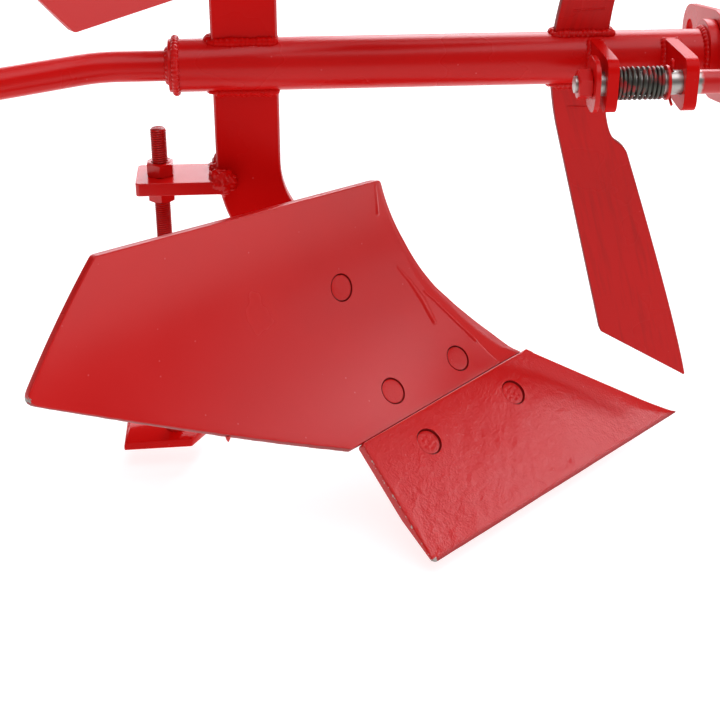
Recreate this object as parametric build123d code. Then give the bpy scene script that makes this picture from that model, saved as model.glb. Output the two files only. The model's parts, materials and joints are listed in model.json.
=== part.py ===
from build123d import *
from math import cos, pi, radians, sin, sqrt, tan
import os

# Reversible plough for a two-wheel tractor, in millimetres.
# The origin is where the hitch pin's axis crosses the turnover axis. +X points forward, along the
# turnover axis to the tractor, +Y to the land side and +Z up, along the hitch pin.
# A round tube carries one plough body below and its mirror image above. It turns half a turn in
# a bearing sleeve, and a sprung plunger locks it to the index plate at either end of that turn.

# Hitch
hitch_pin_d = 20.0
hitch_pin_clear = 0.1
hitch_bush_od = 40.0
hitch_bush_length = 90.0
hitch_plate_t = 8.0
hitch_plate_gap = 66.0
hitch_plate_margin = 12.0
hitch_to_leg = 500.0

# Turnover tube, its bearing sleeve and the index plate
tube_od = 38.0
tube_wall = 4.0
tube_tail = 50.0
run_clear = 0.08
thrust_gap = 0.3
sleeve_wall = 7.5
sleeve_length = 70.0
index_from_leg = 345.0
index_t = 6.0
index_rim = 12.0
index_gap = 0.6
front_plate_t = 10.0
front_plate_width = 84.0
corner_r = 8.0
collar_od = 52.0
collar_length = 8.0
nipple_d = 6.0
nipple_hex = 9.0
nipple_height = 14.0

# Retaining nut at the front end of the tube
stub_d = 24.0
stub_clear = 0.15
stub_plug_length = 45.0
stub_end = 7.0
washer_od = 56.0
washer_t = 5.0
retaining_nut_hex = 36.0
retaining_nut_h = 21.0
castle_slot = 5.5
castle_depth = 8.0
retaining_pin_d = 5.0

# Turning lever
plug_spigot = 20.0
plug_flange = 5.0
lever_d = 22.0
lever_neck = 36.0
lever_bend_r = 60.0
lever_angle = 28.0
lever_arm = 255.0
grip_wall = 5.0
grip_length = 115.0
grip_end = 6.0

# Lock plunger, its lugs and spring
lock_y = 64.0
lock_clear = 0.4
lock_depth = 4.4
plunger_d = 17.0
plunger_clear = 0.1
nose_gap = 0.3
nose_chamfer = 2.0
lug_rear_from_leg = 250.0
lug_rear_t = 8.0
lug_front_t = 9.3
lug_span = 46.9
lug_width = 26.0
lug_height = 38.0
lug_corner_r = 9.0
lug_root_h = 32.0
pin_d = 4.0
pin_length = 34.0
stop_gap = 0.5
spring_washer_od = 24.5
spring_washer_t = 2.0
spring_od = 23.4
spring_wire = 2.6
spring_turns = 10
spring_seat_gap = 0.2
tab_t = 3.6
tab_width = 34.0
tab_height = 38.0
tab_thread_d = 12.0
tab_nut_hex = 19.0
tab_nut_h = 10.0
thread_clear = 0.15

# Leg
leg_width = 48.0
leg_t = 12.0
leg_straight = 75.0
leg_bend_r = 65.0
leg_bend = 45.0
leg_arm = 150.0
toe_from_leg = 250.0
toe_clear = 25.8

# Share: a flat plate, thinned behind its cutting edge, which lies level on the ground. Its heel end
# leans a little, and its joint with the mouldboard is not quite parallel to the edge.
ground = 313.8
tip_from_leg = 355.9
land_y = 14.9
land_relief = 2.6
share_angle = 41.5
share_slope = 40.0
share_edge = 308.5
share_depth = 102.5
share_t = 8.0
share_lean = 2.8
share_edge_t = 2.5
share_thinned = 40.0
share_corner_r = 3.0
joint_slant = 1.8
joint_gap = 0.4

# Mouldboard: a plate rolled about an axis parallel to the cutting edge. Its corners are given on
# the flat blank, along the cutting edge from the tip and up the curve from the joint with the share.
board_slope = 43.0
board_r = 260.0
board_t = 6.0
board_front_rise = 179.3
board_tail_top = (464.7, 199.3)
board_tail_low = (538.5, 123.4)
board_heel_along = 312.9
board_low_corner_r = 8.0
board_top_corner_r = 5.0

# Frog plate and brace behind the share and mouldboard
frog_t = 8.0
frog_low = 45.0
frog_high = 48.0
frog_length = 284.0
frog_inset = 3.0
brace_half = 20.0
brace_end = 24.0
brace_reach = 62.0
brace_stem_at = 42.0
brace_stem_t = 10.0
brace_stem_h = 30.0

# Plough bolts, placed on the blank in the same way as the corners
bolt_d = 10.0
bolt_hole_clear = 0.5
bolt_head_d = 20.0
bolt_head_rim = 1.0
bolt_head_gap = 0.3
bolt_thread_end = 3.0
bolt_nut_hex = 17.0
bolt_nut_h = 8.0
share_bolt_front = (147.6, 82.0)
share_bolt_rear = (249.0, 79.9)
board_bolt_front = (177.2, 24.4)
board_bolt_rear = (251.3, 24.4)
brace_bolt = (259.8, 112.0)

# Coulter knife, across from the leg's centre and down from the turnover axis
coulter_t = 8.0
coulter_rear_top = (224.7, 15.0)
coulter_heel = (278.0, 224.7)
coulter_tip = (352.5, 269.2)
coulter_shoulder = (289.0, 77.2)
coulter_neck = (272.0, 56.2)
coulter_front_top = (265.2, 15.0)
coulter_corner_r = 10.0

# Heel: a sole plate on a threaded rod, clamped to a bracket by two nuts
bracket_top = 83.0
bracket_t = 10.0
bracket_width = 40.0
bracket_end = 84.0
bracket_lap = 10.0
bracket_corner_r = 3.0
rod_from_leg = 66.0
rod_d = 12.0
rod_clear = 0.5
rod_top = 47.0
heel_nut_hex = 19.0
heel_nut_h = 10.0
sole_t = 7.5
sole_width = 46.0
sole_tail = 42.0
sole_front = 13.0
sole_skew = 11.0
sole_lift = 3.6

# Places worked out from the sizes above
leg_x = -hitch_to_leg
index_x = leg_x + index_from_leg
sleeve_bore = tube_od + 2 * run_clear
sleeve_od = sleeve_bore + 2 * sleeve_wall
sleeve_x = index_x + index_t
front_plate_x = sleeve_x + sleeve_length
front_face_x = front_plate_x + front_plate_t
tube_bore = tube_od - 2 * tube_wall
tube_rear_x = leg_x - tube_tail
tube_front_x = front_face_x + thrust_gap
nut_x = tube_front_x + washer_t
stub_front_x = nut_x + retaining_nut_h + stub_end
lug_rear_x = leg_x + lug_rear_from_leg
spring_x = lug_rear_x + lug_rear_t
lug_front_x = spring_x + lug_span
lock_travel = lock_depth + nose_gap
pin_x = lug_front_x - lock_travel - stop_gap - pin_d / 2
spring_washer_x = pin_x - pin_d / 2 - spring_washer_t
tab_x = lug_rear_x - lock_travel - stop_gap - tab_t
rod_x = leg_x - rod_from_leg
sole_z = -ground + sole_lift
reach = 2000.0

# The body's own directions: along the cutting edge from tip to heel, and level back from it
tip = Vector(leg_x + tip_from_leg, land_y, -ground)
along_edge = Vector(-cos(radians(share_angle)), -sin(radians(share_angle)), 0)
back_level = Vector(-sin(radians(share_angle)), cos(radians(share_angle)), 0)
up = Vector(0, 0, 1)
body_plane = Plane(origin=tip, x_dir=back_level, z_dir=-along_edge)


def write(name, shape):
    """One STEP file for one piece."""
    export_step(shape, f"parts/{name}.step")


def disc(x, length, outer, inner=0.0):
    """A round piece on the turnover axis, from x forwards."""
    ring = Circle(outer / 2)
    if inner:
        ring -= Circle(inner / 2)
    return extrude(Plane.YZ.offset(x) * ring, length)


def waste(point, outward):
    """All that lies beyond the flat cut through a point, for taking off a plate."""
    return extrude(Plane(origin=point, z_dir=outward) * Rectangle(reach, reach), reach)


def hex_nut(plane, across_flats, height, bore):
    """A hexagon nut standing on a plane."""
    outline = RegularPolygon(across_flats / 2, 6, major_radius=False) - Circle(bore / 2)
    return extrude(plane * outline, height)


def profile_normal(slope):
    """Square to the working face in the body's profile plane, at a slope in degrees."""
    return Vector(-sin(radians(slope)), cos(radians(slope)))


def face_normal(slope):
    """The same direction in space."""
    flat = profile_normal(slope)
    return back_level * flat.X + up * flat.Y


# Profile of the body, level and up from the cutting edge. The backs of share and mouldboard are
# flush on the frog plate, so the thicker share stands a little proud at the joint.
share_run = Vector(cos(radians(share_slope)), sin(radians(share_slope)))
joint_rise = share_depth + joint_gap
joint_back = share_run * joint_rise - profile_normal(share_slope) * share_t
back_r = board_r + board_t
roll_centre = joint_back + profile_normal(board_slope) * back_r


def roll_point(radius, slope):
    """A point of the rolled profile."""
    return roll_centre - profile_normal(slope) * radius


def slope_at(rise):
    """Slope of the mouldboard at a length up the curve from the joint."""
    return board_slope + rise / board_r * 180 / pi


def board_point(place):
    """A place on the mouldboard's blank, in space on its working face."""
    flat = roll_point(board_r, slope_at(place[1]))
    return tip + along_edge * place[0] + back_level * flat.X + up * flat.Y


def share_point(place):
    """A place on the share, in space on its working face."""
    flat = share_run * place[1]
    return tip + along_edge * place[0] + back_level * flat.X + up * flat.Y


def along_body(face, start, end):
    """A profile drawn out along the cutting edge, between two distances from the tip."""
    return extrude(Pos(along_edge * start) * (body_plane * face), -(end - start))


def rolled_band(inner, outer, low, high):
    """Profile of a rolled plate between two radii and two lengths up the curve."""
    slopes = slope_at(low), slope_at((low + high) / 2), slope_at(high)
    front = [roll_point(inner, slope) for slope in slopes]
    back = [roll_point(outer, slope) for slope in slopes]
    return make_face([
        ThreePointArc(*front), Line(front[2], back[2]), ThreePointArc(*reversed(back)), Line(back[0], front[0]),
    ])


def share_profile(corners):
    """Profile drawn by its corners, each a length up the share and a depth behind its working face."""
    normal = profile_normal(share_slope)
    return make_face(Polyline(*[share_run * rise - normal * depth for rise, depth in corners], close=True))


# What lies in front of the frog plate's back: it trims the leg and the brace to their seats
frog_back = share_t + frog_t
trim_top = slope_at(board_tail_top[1])
trim_low = share_run * -share_depth - profile_normal(share_slope) * frog_back
trim_joint = share_run * joint_rise - profile_normal(share_slope) * frog_back
trim_arc = [roll_point(back_r + frog_t, slope) for slope in
            (board_slope, (board_slope + trim_top) / 2, trim_top)]
trim_far = Vector(-reach, trim_arc[2].Y)
trim_face = make_face([
    Line(trim_low, trim_joint), Line(trim_joint, trim_arc[0]), ThreePointArc(*trim_arc),
    Line(trim_arc[2], trim_far), Line(trim_far, Vector(-reach, trim_low.Y)),
    Line(Vector(-reach, trim_low.Y), trim_low),
])
front_of_frog = along_body(trim_face, -reach, reach)

# Flat cuts shared by the body's plates
land_out = Vector(-sin(radians(land_relief)), cos(radians(land_relief)), 0)
land_waste = waste(tip, land_out)
inset_waste = waste(tip - land_out * frog_inset, land_out)
ground_waste = waste(tip, -up)


def plough_bolt_set(point, normal, grip):
    """Hole, flush-headed bolt and nut for one bolt, with its head at the working face."""
    head_r = bolt_head_d / 2
    shank_r = bolt_d / 2
    cone = head_r - shank_r
    end = grip + bolt_nut_h + bolt_thread_end
    plane = Plane(origin=point, z_dir=normal)
    side = Plane(origin=point, x_dir=plane.x_dir, z_dir=plane.y_dir * -1)
    bolt_outline = Polyline(
        (0, 0), (head_r, 0), (head_r, -bolt_head_rim), (shank_r, -bolt_head_rim - cone), (shank_r, -end), (0, -end),
        close=True)
    sink_r = head_r + bolt_head_gap
    hole_r = shank_r + bolt_hole_clear
    sink = sink_r - hole_r
    hole_outline = Polyline(
        (0, head_r), (sink_r, head_r), (sink_r, -bolt_head_rim), (hole_r, -bolt_head_rim - sink), (hole_r, -end),
        (0, -end), close=True)
    axis = Axis(point, normal)
    bolt = revolve(side * make_face(bolt_outline), axis)
    hole = revolve(side * make_face(hole_outline), axis)
    nut = hex_nut(plane.offset(-grip - bolt_nut_h), bolt_nut_hex, bolt_nut_h, bolt_d + 2 * thread_clear)
    return hole, bolt, nut


def corner_edge(plate, point):
    """The edge through a plate's thickness whose middle is nearest to a point."""
    return min(plate.edges(), key=lambda edge: (edge.center() - point).length)


# Head: index plate, bearing sleeve, front plate and hitch
lock_points = ((-lock_y, 0), (lock_y, 0))
index_eyes = [Pos(*p) * Circle(plunger_d / 2 + index_rim) for p in lock_points]
index_hub = Circle(sleeve_od / 2 + index_rim / 2)
index_outline = make_hull((index_hub + index_eyes).edges()) - Circle(tube_od / 2 + index_gap)
index_outline -= [Pos(*p) * Circle(plunger_d / 2 + lock_clear) for p in lock_points]
index_plate = extrude(Plane.YZ.offset(index_x) * index_outline, index_t)

nipple_x = sleeve_x + sleeve_length / 2
nipple_seat = Plane(origin=(nipple_x, 0, sleeve_od / 2))
nipple_hole = extrude(Plane.XY.offset(tube_od / 2) * (Pos(nipple_x, 0) * Circle(nipple_d / 2)), sleeve_od / 2)
bearing_sleeve = disc(sleeve_x, sleeve_length, sleeve_od, sleeve_bore) - nipple_hole

nipple_neck = nipple_d * 0.35
nipple_shank = extrude(nipple_seat * Circle(nipple_d / 2 - thread_clear), -sleeve_wall)
nipple_base = extrude(nipple_seat * RegularPolygon(nipple_hex / 2, 6, major_radius=False), nipple_height / 3)
nipple_stem = extrude(nipple_seat * Circle(nipple_neck), nipple_height - nipple_neck)
nipple_ball = Pos(nipple_x, 0, sleeve_od / 2 + nipple_height - nipple_neck) * Sphere(nipple_neck * 1.25)
grease_nipple = nipple_shank + nipple_base + nipple_stem + nipple_ball

front_plate_height = hitch_plate_gap + 2 * hitch_plate_t
front_outline = RectangleRounded(front_plate_width, front_plate_height, corner_r) - Circle(sleeve_bore / 2)
front_plate = extrude(Plane.YZ.offset(front_plate_x) * front_outline, front_plate_t)

plate_rear = Pos(front_face_x + corner_r / 2, 0) * Rectangle(corner_r, front_plate_width - 2 * corner_r)
plate_nose = Circle(hitch_bush_od / 2 + hitch_plate_margin)
hitch_outline = make_hull((plate_nose + plate_rear).edges()) - Circle(hitch_bush_od / 2)
hitch_plate_upper = extrude(Plane.XY.offset(hitch_plate_gap / 2) * hitch_outline, hitch_plate_t)
hitch_plate_lower = mirror(hitch_plate_upper, about=Plane.XY)
bush_ring = Circle(hitch_bush_od / 2) - Circle(hitch_pin_d / 2 + hitch_pin_clear)
hitch_bush = extrude(bush_ring, hitch_bush_length / 2, both=True)

write("index_plate", index_plate)
write("bearing_sleeve", bearing_sleeve)
write("grease_nipple", grease_nipple)
write("front_plate", front_plate)
write("hitch_plate_upper", hitch_plate_upper)
write("hitch_plate_lower", hitch_plate_lower)
write("hitch_bush", hitch_bush)

# Turnover tube with its thrust collar, and the stub, washer, nut and pin that hold it in the sleeve
tube_solid = disc(tube_rear_x, tube_front_x - tube_rear_x, tube_od)
turnover_tube = disc(tube_rear_x, tube_front_x - tube_rear_x, tube_od, tube_bore)
thrust_collar = disc(index_x - thrust_gap - collar_length, collar_length, collar_od, tube_od)

pin_hole_x = nut_x + retaining_nut_h - castle_depth / 2
pin_axis = Plane.XY.offset(-retaining_nut_hex / 2)
retaining_pin = extrude(pin_axis * (Pos(pin_hole_x, 0) * Circle(retaining_pin_d / 2)), retaining_nut_hex)
pin_bore = extrude(
    pin_axis * (Pos(pin_hole_x, 0) * Circle(retaining_pin_d / 2 + thread_clear)), retaining_nut_hex)
stub_plug = disc(tube_front_x - stub_plug_length, stub_plug_length, tube_bore)
stub_thread = disc(tube_front_x, stub_front_x - tube_front_x, stub_d)
front_stub = chamfer((stub_plug + stub_thread).edges().sort_by(Axis.X)[-1], stub_d / 12) - pin_bore

retaining_washer = disc(tube_front_x, washer_t, washer_od, stub_d + 2 * stub_clear)
nut_plane = Plane.YZ.offset(nut_x)
retaining_nut = hex_nut(nut_plane, retaining_nut_hex, retaining_nut_h, stub_d + 2 * stub_clear)
castle_plane = Plane.YZ.offset(nut_x + retaining_nut_h - castle_depth)
castle_slots = [
    extrude(castle_plane * (Rot(0, 0, turn) * Rectangle(castle_slot, retaining_nut_hex * 2)), castle_depth)
    for turn in (0, 60, 120)
]
retaining_nut -= castle_slots

write("turnover_tube", turnover_tube)
write("thrust_collar", thrust_collar)
write("front_stub", front_stub)
write("retaining_washer", retaining_washer)
write("retaining_nut", retaining_nut)
write("retaining_pin", retaining_pin)

# Rear plug and the bent turning lever with its grip
rear_plug = disc(tube_rear_x, plug_spigot, tube_bore) + disc(tube_rear_x - plug_flange, plug_flange, tube_od)
lever_x = tube_rear_x - plug_flange
lever_start = Vector(lever_x, 0, 0)
lever_elbow = Vector(lever_x - lever_neck, 0, 0)
lever_bow = JernArc(lever_elbow, (-1, 0), lever_bend_r, lever_angle)
lever_out = lever_bow % 1
lever_end = lever_bow @ 1 + lever_out * lever_arm
lever_path = Wire([Line(lever_start, lever_elbow), lever_bow, Line(lever_bow @ 1, lever_end)])
turning_lever = sweep(Plane(origin=lever_start, z_dir=(-1, 0, 0)) * Circle(lever_d / 2), lever_path)

grip_plane = Plane(origin=lever_end + lever_out * grip_end, z_dir=lever_out * -1)
grip_outer = extrude(grip_plane * Circle(lever_d / 2 + grip_wall), grip_length)
grip_outer = fillet(grip_outer.edges(), grip_wall * 0.6)
grip_bore = extrude(grip_plane.offset(grip_end) * Circle(lever_d / 2), grip_length)
lever_grip = grip_outer - grip_bore

write("rear_plug", rear_plug)
write("turning_lever", turning_lever)
write("lever_grip", lever_grip)

# Lugs on the side of the tube, bored for the plunger
lug_eye = Pos(-lock_y, 0) * RectangleRounded(lug_width, lug_height, lug_corner_r)
lug_root = Pos(-tube_od / 4, 0) * Rectangle(tube_od / 2, lug_root_h)
lug_outline = make_hull((lug_eye + lug_root).edges()) - Circle(tube_od / 2)
lug_outline -= Pos(-lock_y, 0) * Circle(plunger_d / 2 + plunger_clear)
write("lug_rear", extrude(Plane.YZ.offset(lug_rear_x) * lug_outline, lug_rear_t))
write("lug_front", extrude(Plane.YZ.offset(lug_front_x) * lug_outline, lug_front_t))


# Lock plunger, drawn back so that its nose just clears the index plate
def on_plunger(x):
    """A plane square to the plunger's axis."""
    return Plane(origin=(x, -lock_y, 0), x_dir=(0, 1, 0), z_dir=(1, 0, 0))


nose_x = index_x - nose_gap
thread_x = tab_x - tab_nut_h - spring_washer_t
plunger_body = extrude(on_plunger(tab_x + tab_t) * Circle(plunger_d / 2), nose_x - tab_x - tab_t)
plunger_body = chamfer(plunger_body.edges().sort_by(Axis.X)[-1], nose_chamfer)
plunger_thread = extrude(on_plunger(thread_x) * Circle(tab_thread_d / 2), tab_x + tab_t - thread_x)
cross_hole = Pos(pin_x, -lock_y, 0) * Cylinder(pin_d / 2 + thread_clear, pin_length)
plunger_rod = plunger_body + plunger_thread - cross_hole
plunger_pin = Pos(pin_x, -lock_y, 0) * Cylinder(pin_d / 2, pin_length)
washer_ring = Circle(spring_washer_od / 2) - Circle(plunger_d / 2 + plunger_clear)
spring_washer = extrude(on_plunger(spring_washer_x) * washer_ring, spring_washer_t)
tab_outline = RectangleRounded(tab_width, tab_height, tab_width * 0.4)
tab_outline -= Circle(tab_thread_d / 2 + thread_clear)
pull_tab = extrude(on_plunger(tab_x) * tab_outline, tab_t)
tab_nut = hex_nut(on_plunger(tab_x - tab_nut_h), tab_nut_hex, tab_nut_h, tab_thread_d + 2 * thread_clear)

write("plunger_rod", plunger_rod)
write("plunger_pin", plunger_pin)
write("spring_washer", spring_washer)
write("pull_tab", pull_tab)
write("tab_nut", tab_nut)

# Lock spring: one wire wound as a helix of biarcs, half a turn each, with short straight ends
coil_r = (spring_od - spring_wire) / 2
coil_start = spring_x + spring_wire / 2 + spring_seat_gap
coil_end = spring_washer_x - spring_wire / 2 - spring_seat_gap
coil_pitch = (coil_end - coil_start) / spring_turns


def coil_point(turn):
    """Centre of the wire after a number of turns."""
    angle = 2 * pi * turn
    return Vector(coil_start + coil_pitch * turn, coil_r * cos(angle) - lock_y, coil_r * sin(angle))


def coil_tangent(turn):
    """Direction of the wire after a number of turns."""
    angle = 2 * pi * turn
    return Vector(coil_pitch / (2 * pi), -coil_r * sin(angle), coil_r * cos(angle)).normalized()


def biarc(start, start_way, end, end_way):
    """Two arcs that join two points with the directions given at both."""
    chord = end - start
    ways = start_way + end_way
    square = 2 * (start_way.dot(end_way) - 1)
    linear = chord.dot(ways)
    arm = (linear - sqrt(linear ** 2 - square * chord.dot(chord))) / square
    middle = (start + start_way * arm + end - end_way * arm) / 2
    first = Edge.make_tangent_arc(start, start_way, middle)
    return [first, Edge.make_tangent_arc(middle, first % 1, end)]


half_turns = [n / 2 for n in range(2 * spring_turns + 1)]
coil_edges = [Edge.make_line(coil_point(0) - coil_tangent(0) * spring_wire, coil_point(0))]
for first, second in zip(half_turns, half_turns[1:]):
    coil_edges += biarc(coil_point(first), coil_tangent(first), coil_point(second), coil_tangent(second))
coil_last = coil_point(spring_turns)
coil_edges.append(Edge.make_line(coil_last, coil_last + coil_tangent(spring_turns) * spring_wire))
coil_wire = Wire(coil_edges)
lock_spring = sweep(Plane(origin=coil_wire @ 0, z_dir=coil_wire % 0) * Circle(spring_wire / 2), coil_wire)

samples_per_turn = 24
coil_samples = [coil_wire @ (n / (samples_per_turn * spring_turns)) for n in range(samples_per_turn * spring_turns + 1)]
coil_gap = min((coil_samples[i] - coil_samples[j]).length
               for i in range(len(coil_samples))
               for j in range(i + samples_per_turn // 2, min(len(coil_samples), i + 2 * samples_per_turn)))
print(f"lock spring: least gap between turns {coil_gap - spring_wire:.2f} mm")
write("lock_spring", lock_spring)

# Share and mouldboard
up_share = share_point((0.0, 1.0)) - tip
joint_up = up_share * cos(radians(joint_slant)) + along_edge * sin(radians(joint_slant))
heel_out = along_edge * cos(radians(share_lean)) + up_share * sin(radians(share_lean))
heel_along = share_edge - share_depth * tan(radians(share_lean))
joint_heel = share_point((heel_along, share_depth))
share_tail = -share_edge_t
thinning = (share_t - share_edge_t) / share_thinned
share_top = share_depth + share_edge * tan(radians(joint_slant))
share_corners = (
    (share_tail, 0.0), (share_top, 0.0), (share_top, share_t), (share_thinned, share_t),
    (share_tail, share_edge_t + thinning * share_tail))
share = along_body(share_profile(share_corners), -share_edge, 2 * share_edge)
share -= along_body(rolled_band(back_r, back_r + share_t, 0.0, share_depth / 4), -share_edge, 2 * share_edge)
share = share - land_waste - ground_waste - waste(joint_heel, joint_up) - waste(joint_heel, heel_out)
share_heel = joint_heel - face_normal(share_slope) * (share_t / 2)
share = fillet(corner_edge(share, share_heel), share_corner_r)

front_flat = roll_point(board_r, slope_at(board_front_rise))
front_along = -front_flat.X * back_level.dot(land_out) / along_edge.dot(land_out)
board_rises = board_front_rise, board_tail_top[1], board_tail_low[1]
board_corners = [board_point(p) for p in ((front_along, board_front_rise), board_tail_top, board_tail_low)]
board_low = board_point((board_heel_along, 0.0))
board = along_body(rolled_band(board_r, back_r, 0.0, board_tail_top[1] + board_r / 8), 0.0, board_tail_low[0] + board_r / 8)
board = board - land_waste - waste(joint_heel + joint_up * joint_gap, joint_up * -1)
board_middle = board_point(((board_heel_along + board_tail_top[0]) / 2, board_tail_low[1] * 0.8))
cut_lines = (
    (board_corners[0], board_corners[1], board_tail_top[1]),
    (board_corners[1], board_corners[2], (board_tail_top[1] + board_tail_low[1]) / 2),
    (board_corners[2], board_low, board_tail_low[1] / 2),
)
for first, second, rise in cut_lines:
    outward = (second - first).cross(face_normal(slope_at(rise))).normalized()
    if (board_middle - first).dot(outward) > 0:
        outward = outward * -1
    board -= waste(first, outward)
board_radii = board_top_corner_r, board_top_corner_r, board_low_corner_r
for corner, rise, radius in zip(board_corners, board_rises, board_radii):
    middle = corner - face_normal(slope_at(rise)) * (board_t / 2)
    board = fillet(corner_edge(board, middle), radius)

# Frog plate and brace, which follow the backs of the share and mouldboard
frog_corners = ((frog_low, share_t), (joint_rise, share_t), (joint_rise, frog_back), (frog_low, frog_back))
frog = along_body(share_profile(frog_corners), 0.0, frog_length)
frog += along_body(rolled_band(back_r, back_r + frog_t, 0.0, frog_high), 0.0, frog_length)
frog_wedge = make_face(Polyline(
    joint_back, trim_joint, roll_point(back_r + frog_t, board_slope), close=True))
frog += along_body(frog_wedge, 0.0, frog_length)
frog -= inset_waste

brace_low = brace_bolt[1] - brace_half
brace_high = brace_bolt[1] + brace_half
brace = along_body(rolled_band(back_r, back_r + frog_t, brace_low, brace_high),
                   brace_bolt[0] - brace_reach, brace_bolt[0] + brace_end)
stem_place = (brace_bolt[0] - brace_stem_at, brace_bolt[1])
stem_seat = board_point(stem_place) - face_normal(slope_at(brace_bolt[1])) * (board_t + frog_t)
stem_length = -leg_t / 2 - stem_seat.Y + brace_half
stem_middle = Vector(stem_seat.X, -leg_t / 2 - stem_length / 2, stem_seat.Z)
brace_stem = Pos(stem_middle) * Box(brace_stem_t, stem_length, brace_stem_h) - front_of_frog
brace += brace_stem

# Bolts: each goes through a plate and what carries it
bolts = []
nuts = []
for place in (share_bolt_front, share_bolt_rear):
    hole, bolt, nut = plough_bolt_set(share_point(place), face_normal(share_slope), share_t + frog_t)
    share -= hole
    frog -= hole
    bolts.append(bolt)
    nuts.append(nut)
for place in (board_bolt_front, board_bolt_rear, brace_bolt):
    normal = face_normal(slope_at(place[1]))
    hole, bolt, nut = plough_bolt_set(board_point(place), normal, board_t + frog_t)
    board -= hole
    frog -= hole
    brace -= hole
    bolts.append(bolt)
    nuts.append(nut)

# Leg: flame-cut plate that bends forward under the tube and is trimmed to the frog plate's back
bend = radians(leg_bend)
bend_centre = Vector(leg_x + leg_width / 2 + leg_bend_r, -leg_straight)
rear_r = leg_width + leg_bend_r


def bend_point(radius, angle):
    """A point of the leg's bend, at an angle from its level start."""
    return bend_centre - Vector(cos(angle), sin(angle)) * radius


leg_low = bend_point(rear_r, bend) + Vector(sin(bend), -cos(bend)) * leg_arm
leg_toe = Vector(leg_x + toe_from_leg, -ground + toe_clear)
leg_outline = make_face([
    Line((leg_x - leg_width / 2, 0), bend_point(rear_r, 0)),
    ThreePointArc(bend_point(rear_r, 0), bend_point(rear_r, bend / 2), bend_point(rear_r, bend)),
    Line(bend_point(rear_r, bend), leg_low),
    Line(leg_low, leg_toe),
    Line(leg_toe, (leg_toe.X, bend_point(leg_bend_r, bend).Y)),
    Line((leg_toe.X, bend_point(leg_bend_r, bend).Y), bend_point(leg_bend_r, bend)),
    ThreePointArc(bend_point(leg_bend_r, bend), bend_point(leg_bend_r, bend / 2), bend_point(leg_bend_r, 0)),
    Line(bend_point(leg_bend_r, 0), (leg_x + leg_width / 2, 0)),
    Line((leg_x + leg_width / 2, 0), (leg_x - leg_width / 2, 0)),
])
leg = extrude(Plane.XZ * leg_outline, leg_t / 2, both=True) - tube_solid - front_of_frog

# Coulter knife, welded edge-on under the tube
coulter_corners = [(leg_x + across, -down) for across, down in (
    coulter_rear_top, coulter_heel, coulter_tip, coulter_shoulder, coulter_neck, coulter_front_top)]
coulter_face = make_face(Polyline(*coulter_corners, close=True))
rounded = [v for v in coulter_face.vertices()
           if min((v.center() - Vector(*coulter_corners[n])).length for n in (3, 4)) < run_clear]
coulter_face = fillet(rounded, coulter_corner_r)
coulter = extrude(Plane.XZ * coulter_face, coulter_t / 2, both=True) - tube_solid

# Heel bracket, notched round the leg's rear edge
bracket_length = bracket_end - leg_width / 2 + bracket_lap
bracket = Pos(leg_x - bracket_end + bracket_length / 2, 0, -bracket_top - bracket_t / 2) * Box(
    bracket_length, bracket_width, bracket_t)
bracket = fillet(bracket.edges().filter_by(Axis.Z), bracket_corner_r)
bracket -= Pos(rod_x, 0, -bracket_top) * Cylinder(rod_d / 2 + rod_clear, 3 * bracket_t)
bracket -= leg

# Heel rod, sole and nuts
sole_top = sole_z + sole_t
heel_rod = extrude(Plane.XY.offset(sole_top) * (Pos(rod_x, 0) * Circle(rod_d / 2)), -rod_top - sole_top)
heel_rod = chamfer(heel_rod.edges().sort_by(Axis.Z)[-1], rod_d / 10)
sole_outline = make_face(Polyline(
    (rod_x - sole_tail, -sole_width / 2), (rod_x + sole_front, -sole_width / 2),
    (rod_x + sole_front + sole_skew, sole_width / 2), (rod_x - sole_tail, sole_width / 2), close=True))
heel_sole = extrude(Plane.XY.offset(sole_z) * sole_outline, sole_t)
nut_bore = rod_d + 2 * thread_clear
heel_nuts = [
    hex_nut(Plane(origin=(rod_x, 0, z)), heel_nut_hex, heel_nut_h, nut_bore)
    for z in (-bracket_top, -bracket_top - bracket_t - heel_nut_h)
]

# The lower body and its mirror image above the turnover axis
body_pieces = {
    "leg": leg,
    "frog": frog,
    "brace": brace,
    "share": share,
    "mouldboard": board,
    "plough_bolts": Compound(bolts),
    "plough_nuts": Compound(nuts),
    "coulter": coulter,
    "heel_bracket": bracket,
    "heel_rod": heel_rod,
    "heel_sole": heel_sole,
    "heel_nuts": Compound(heel_nuts),
}
for name, piece in body_pieces.items():
    write(f"lower_{name}", piece)
    write(f"upper_{name}", mirror(piece, about=Plane.XY))
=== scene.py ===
import json
from math import cos, pi, radians, sin, tan

import bmesh
import bpy
import numpy as np
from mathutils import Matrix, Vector, geometry, noise

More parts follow.
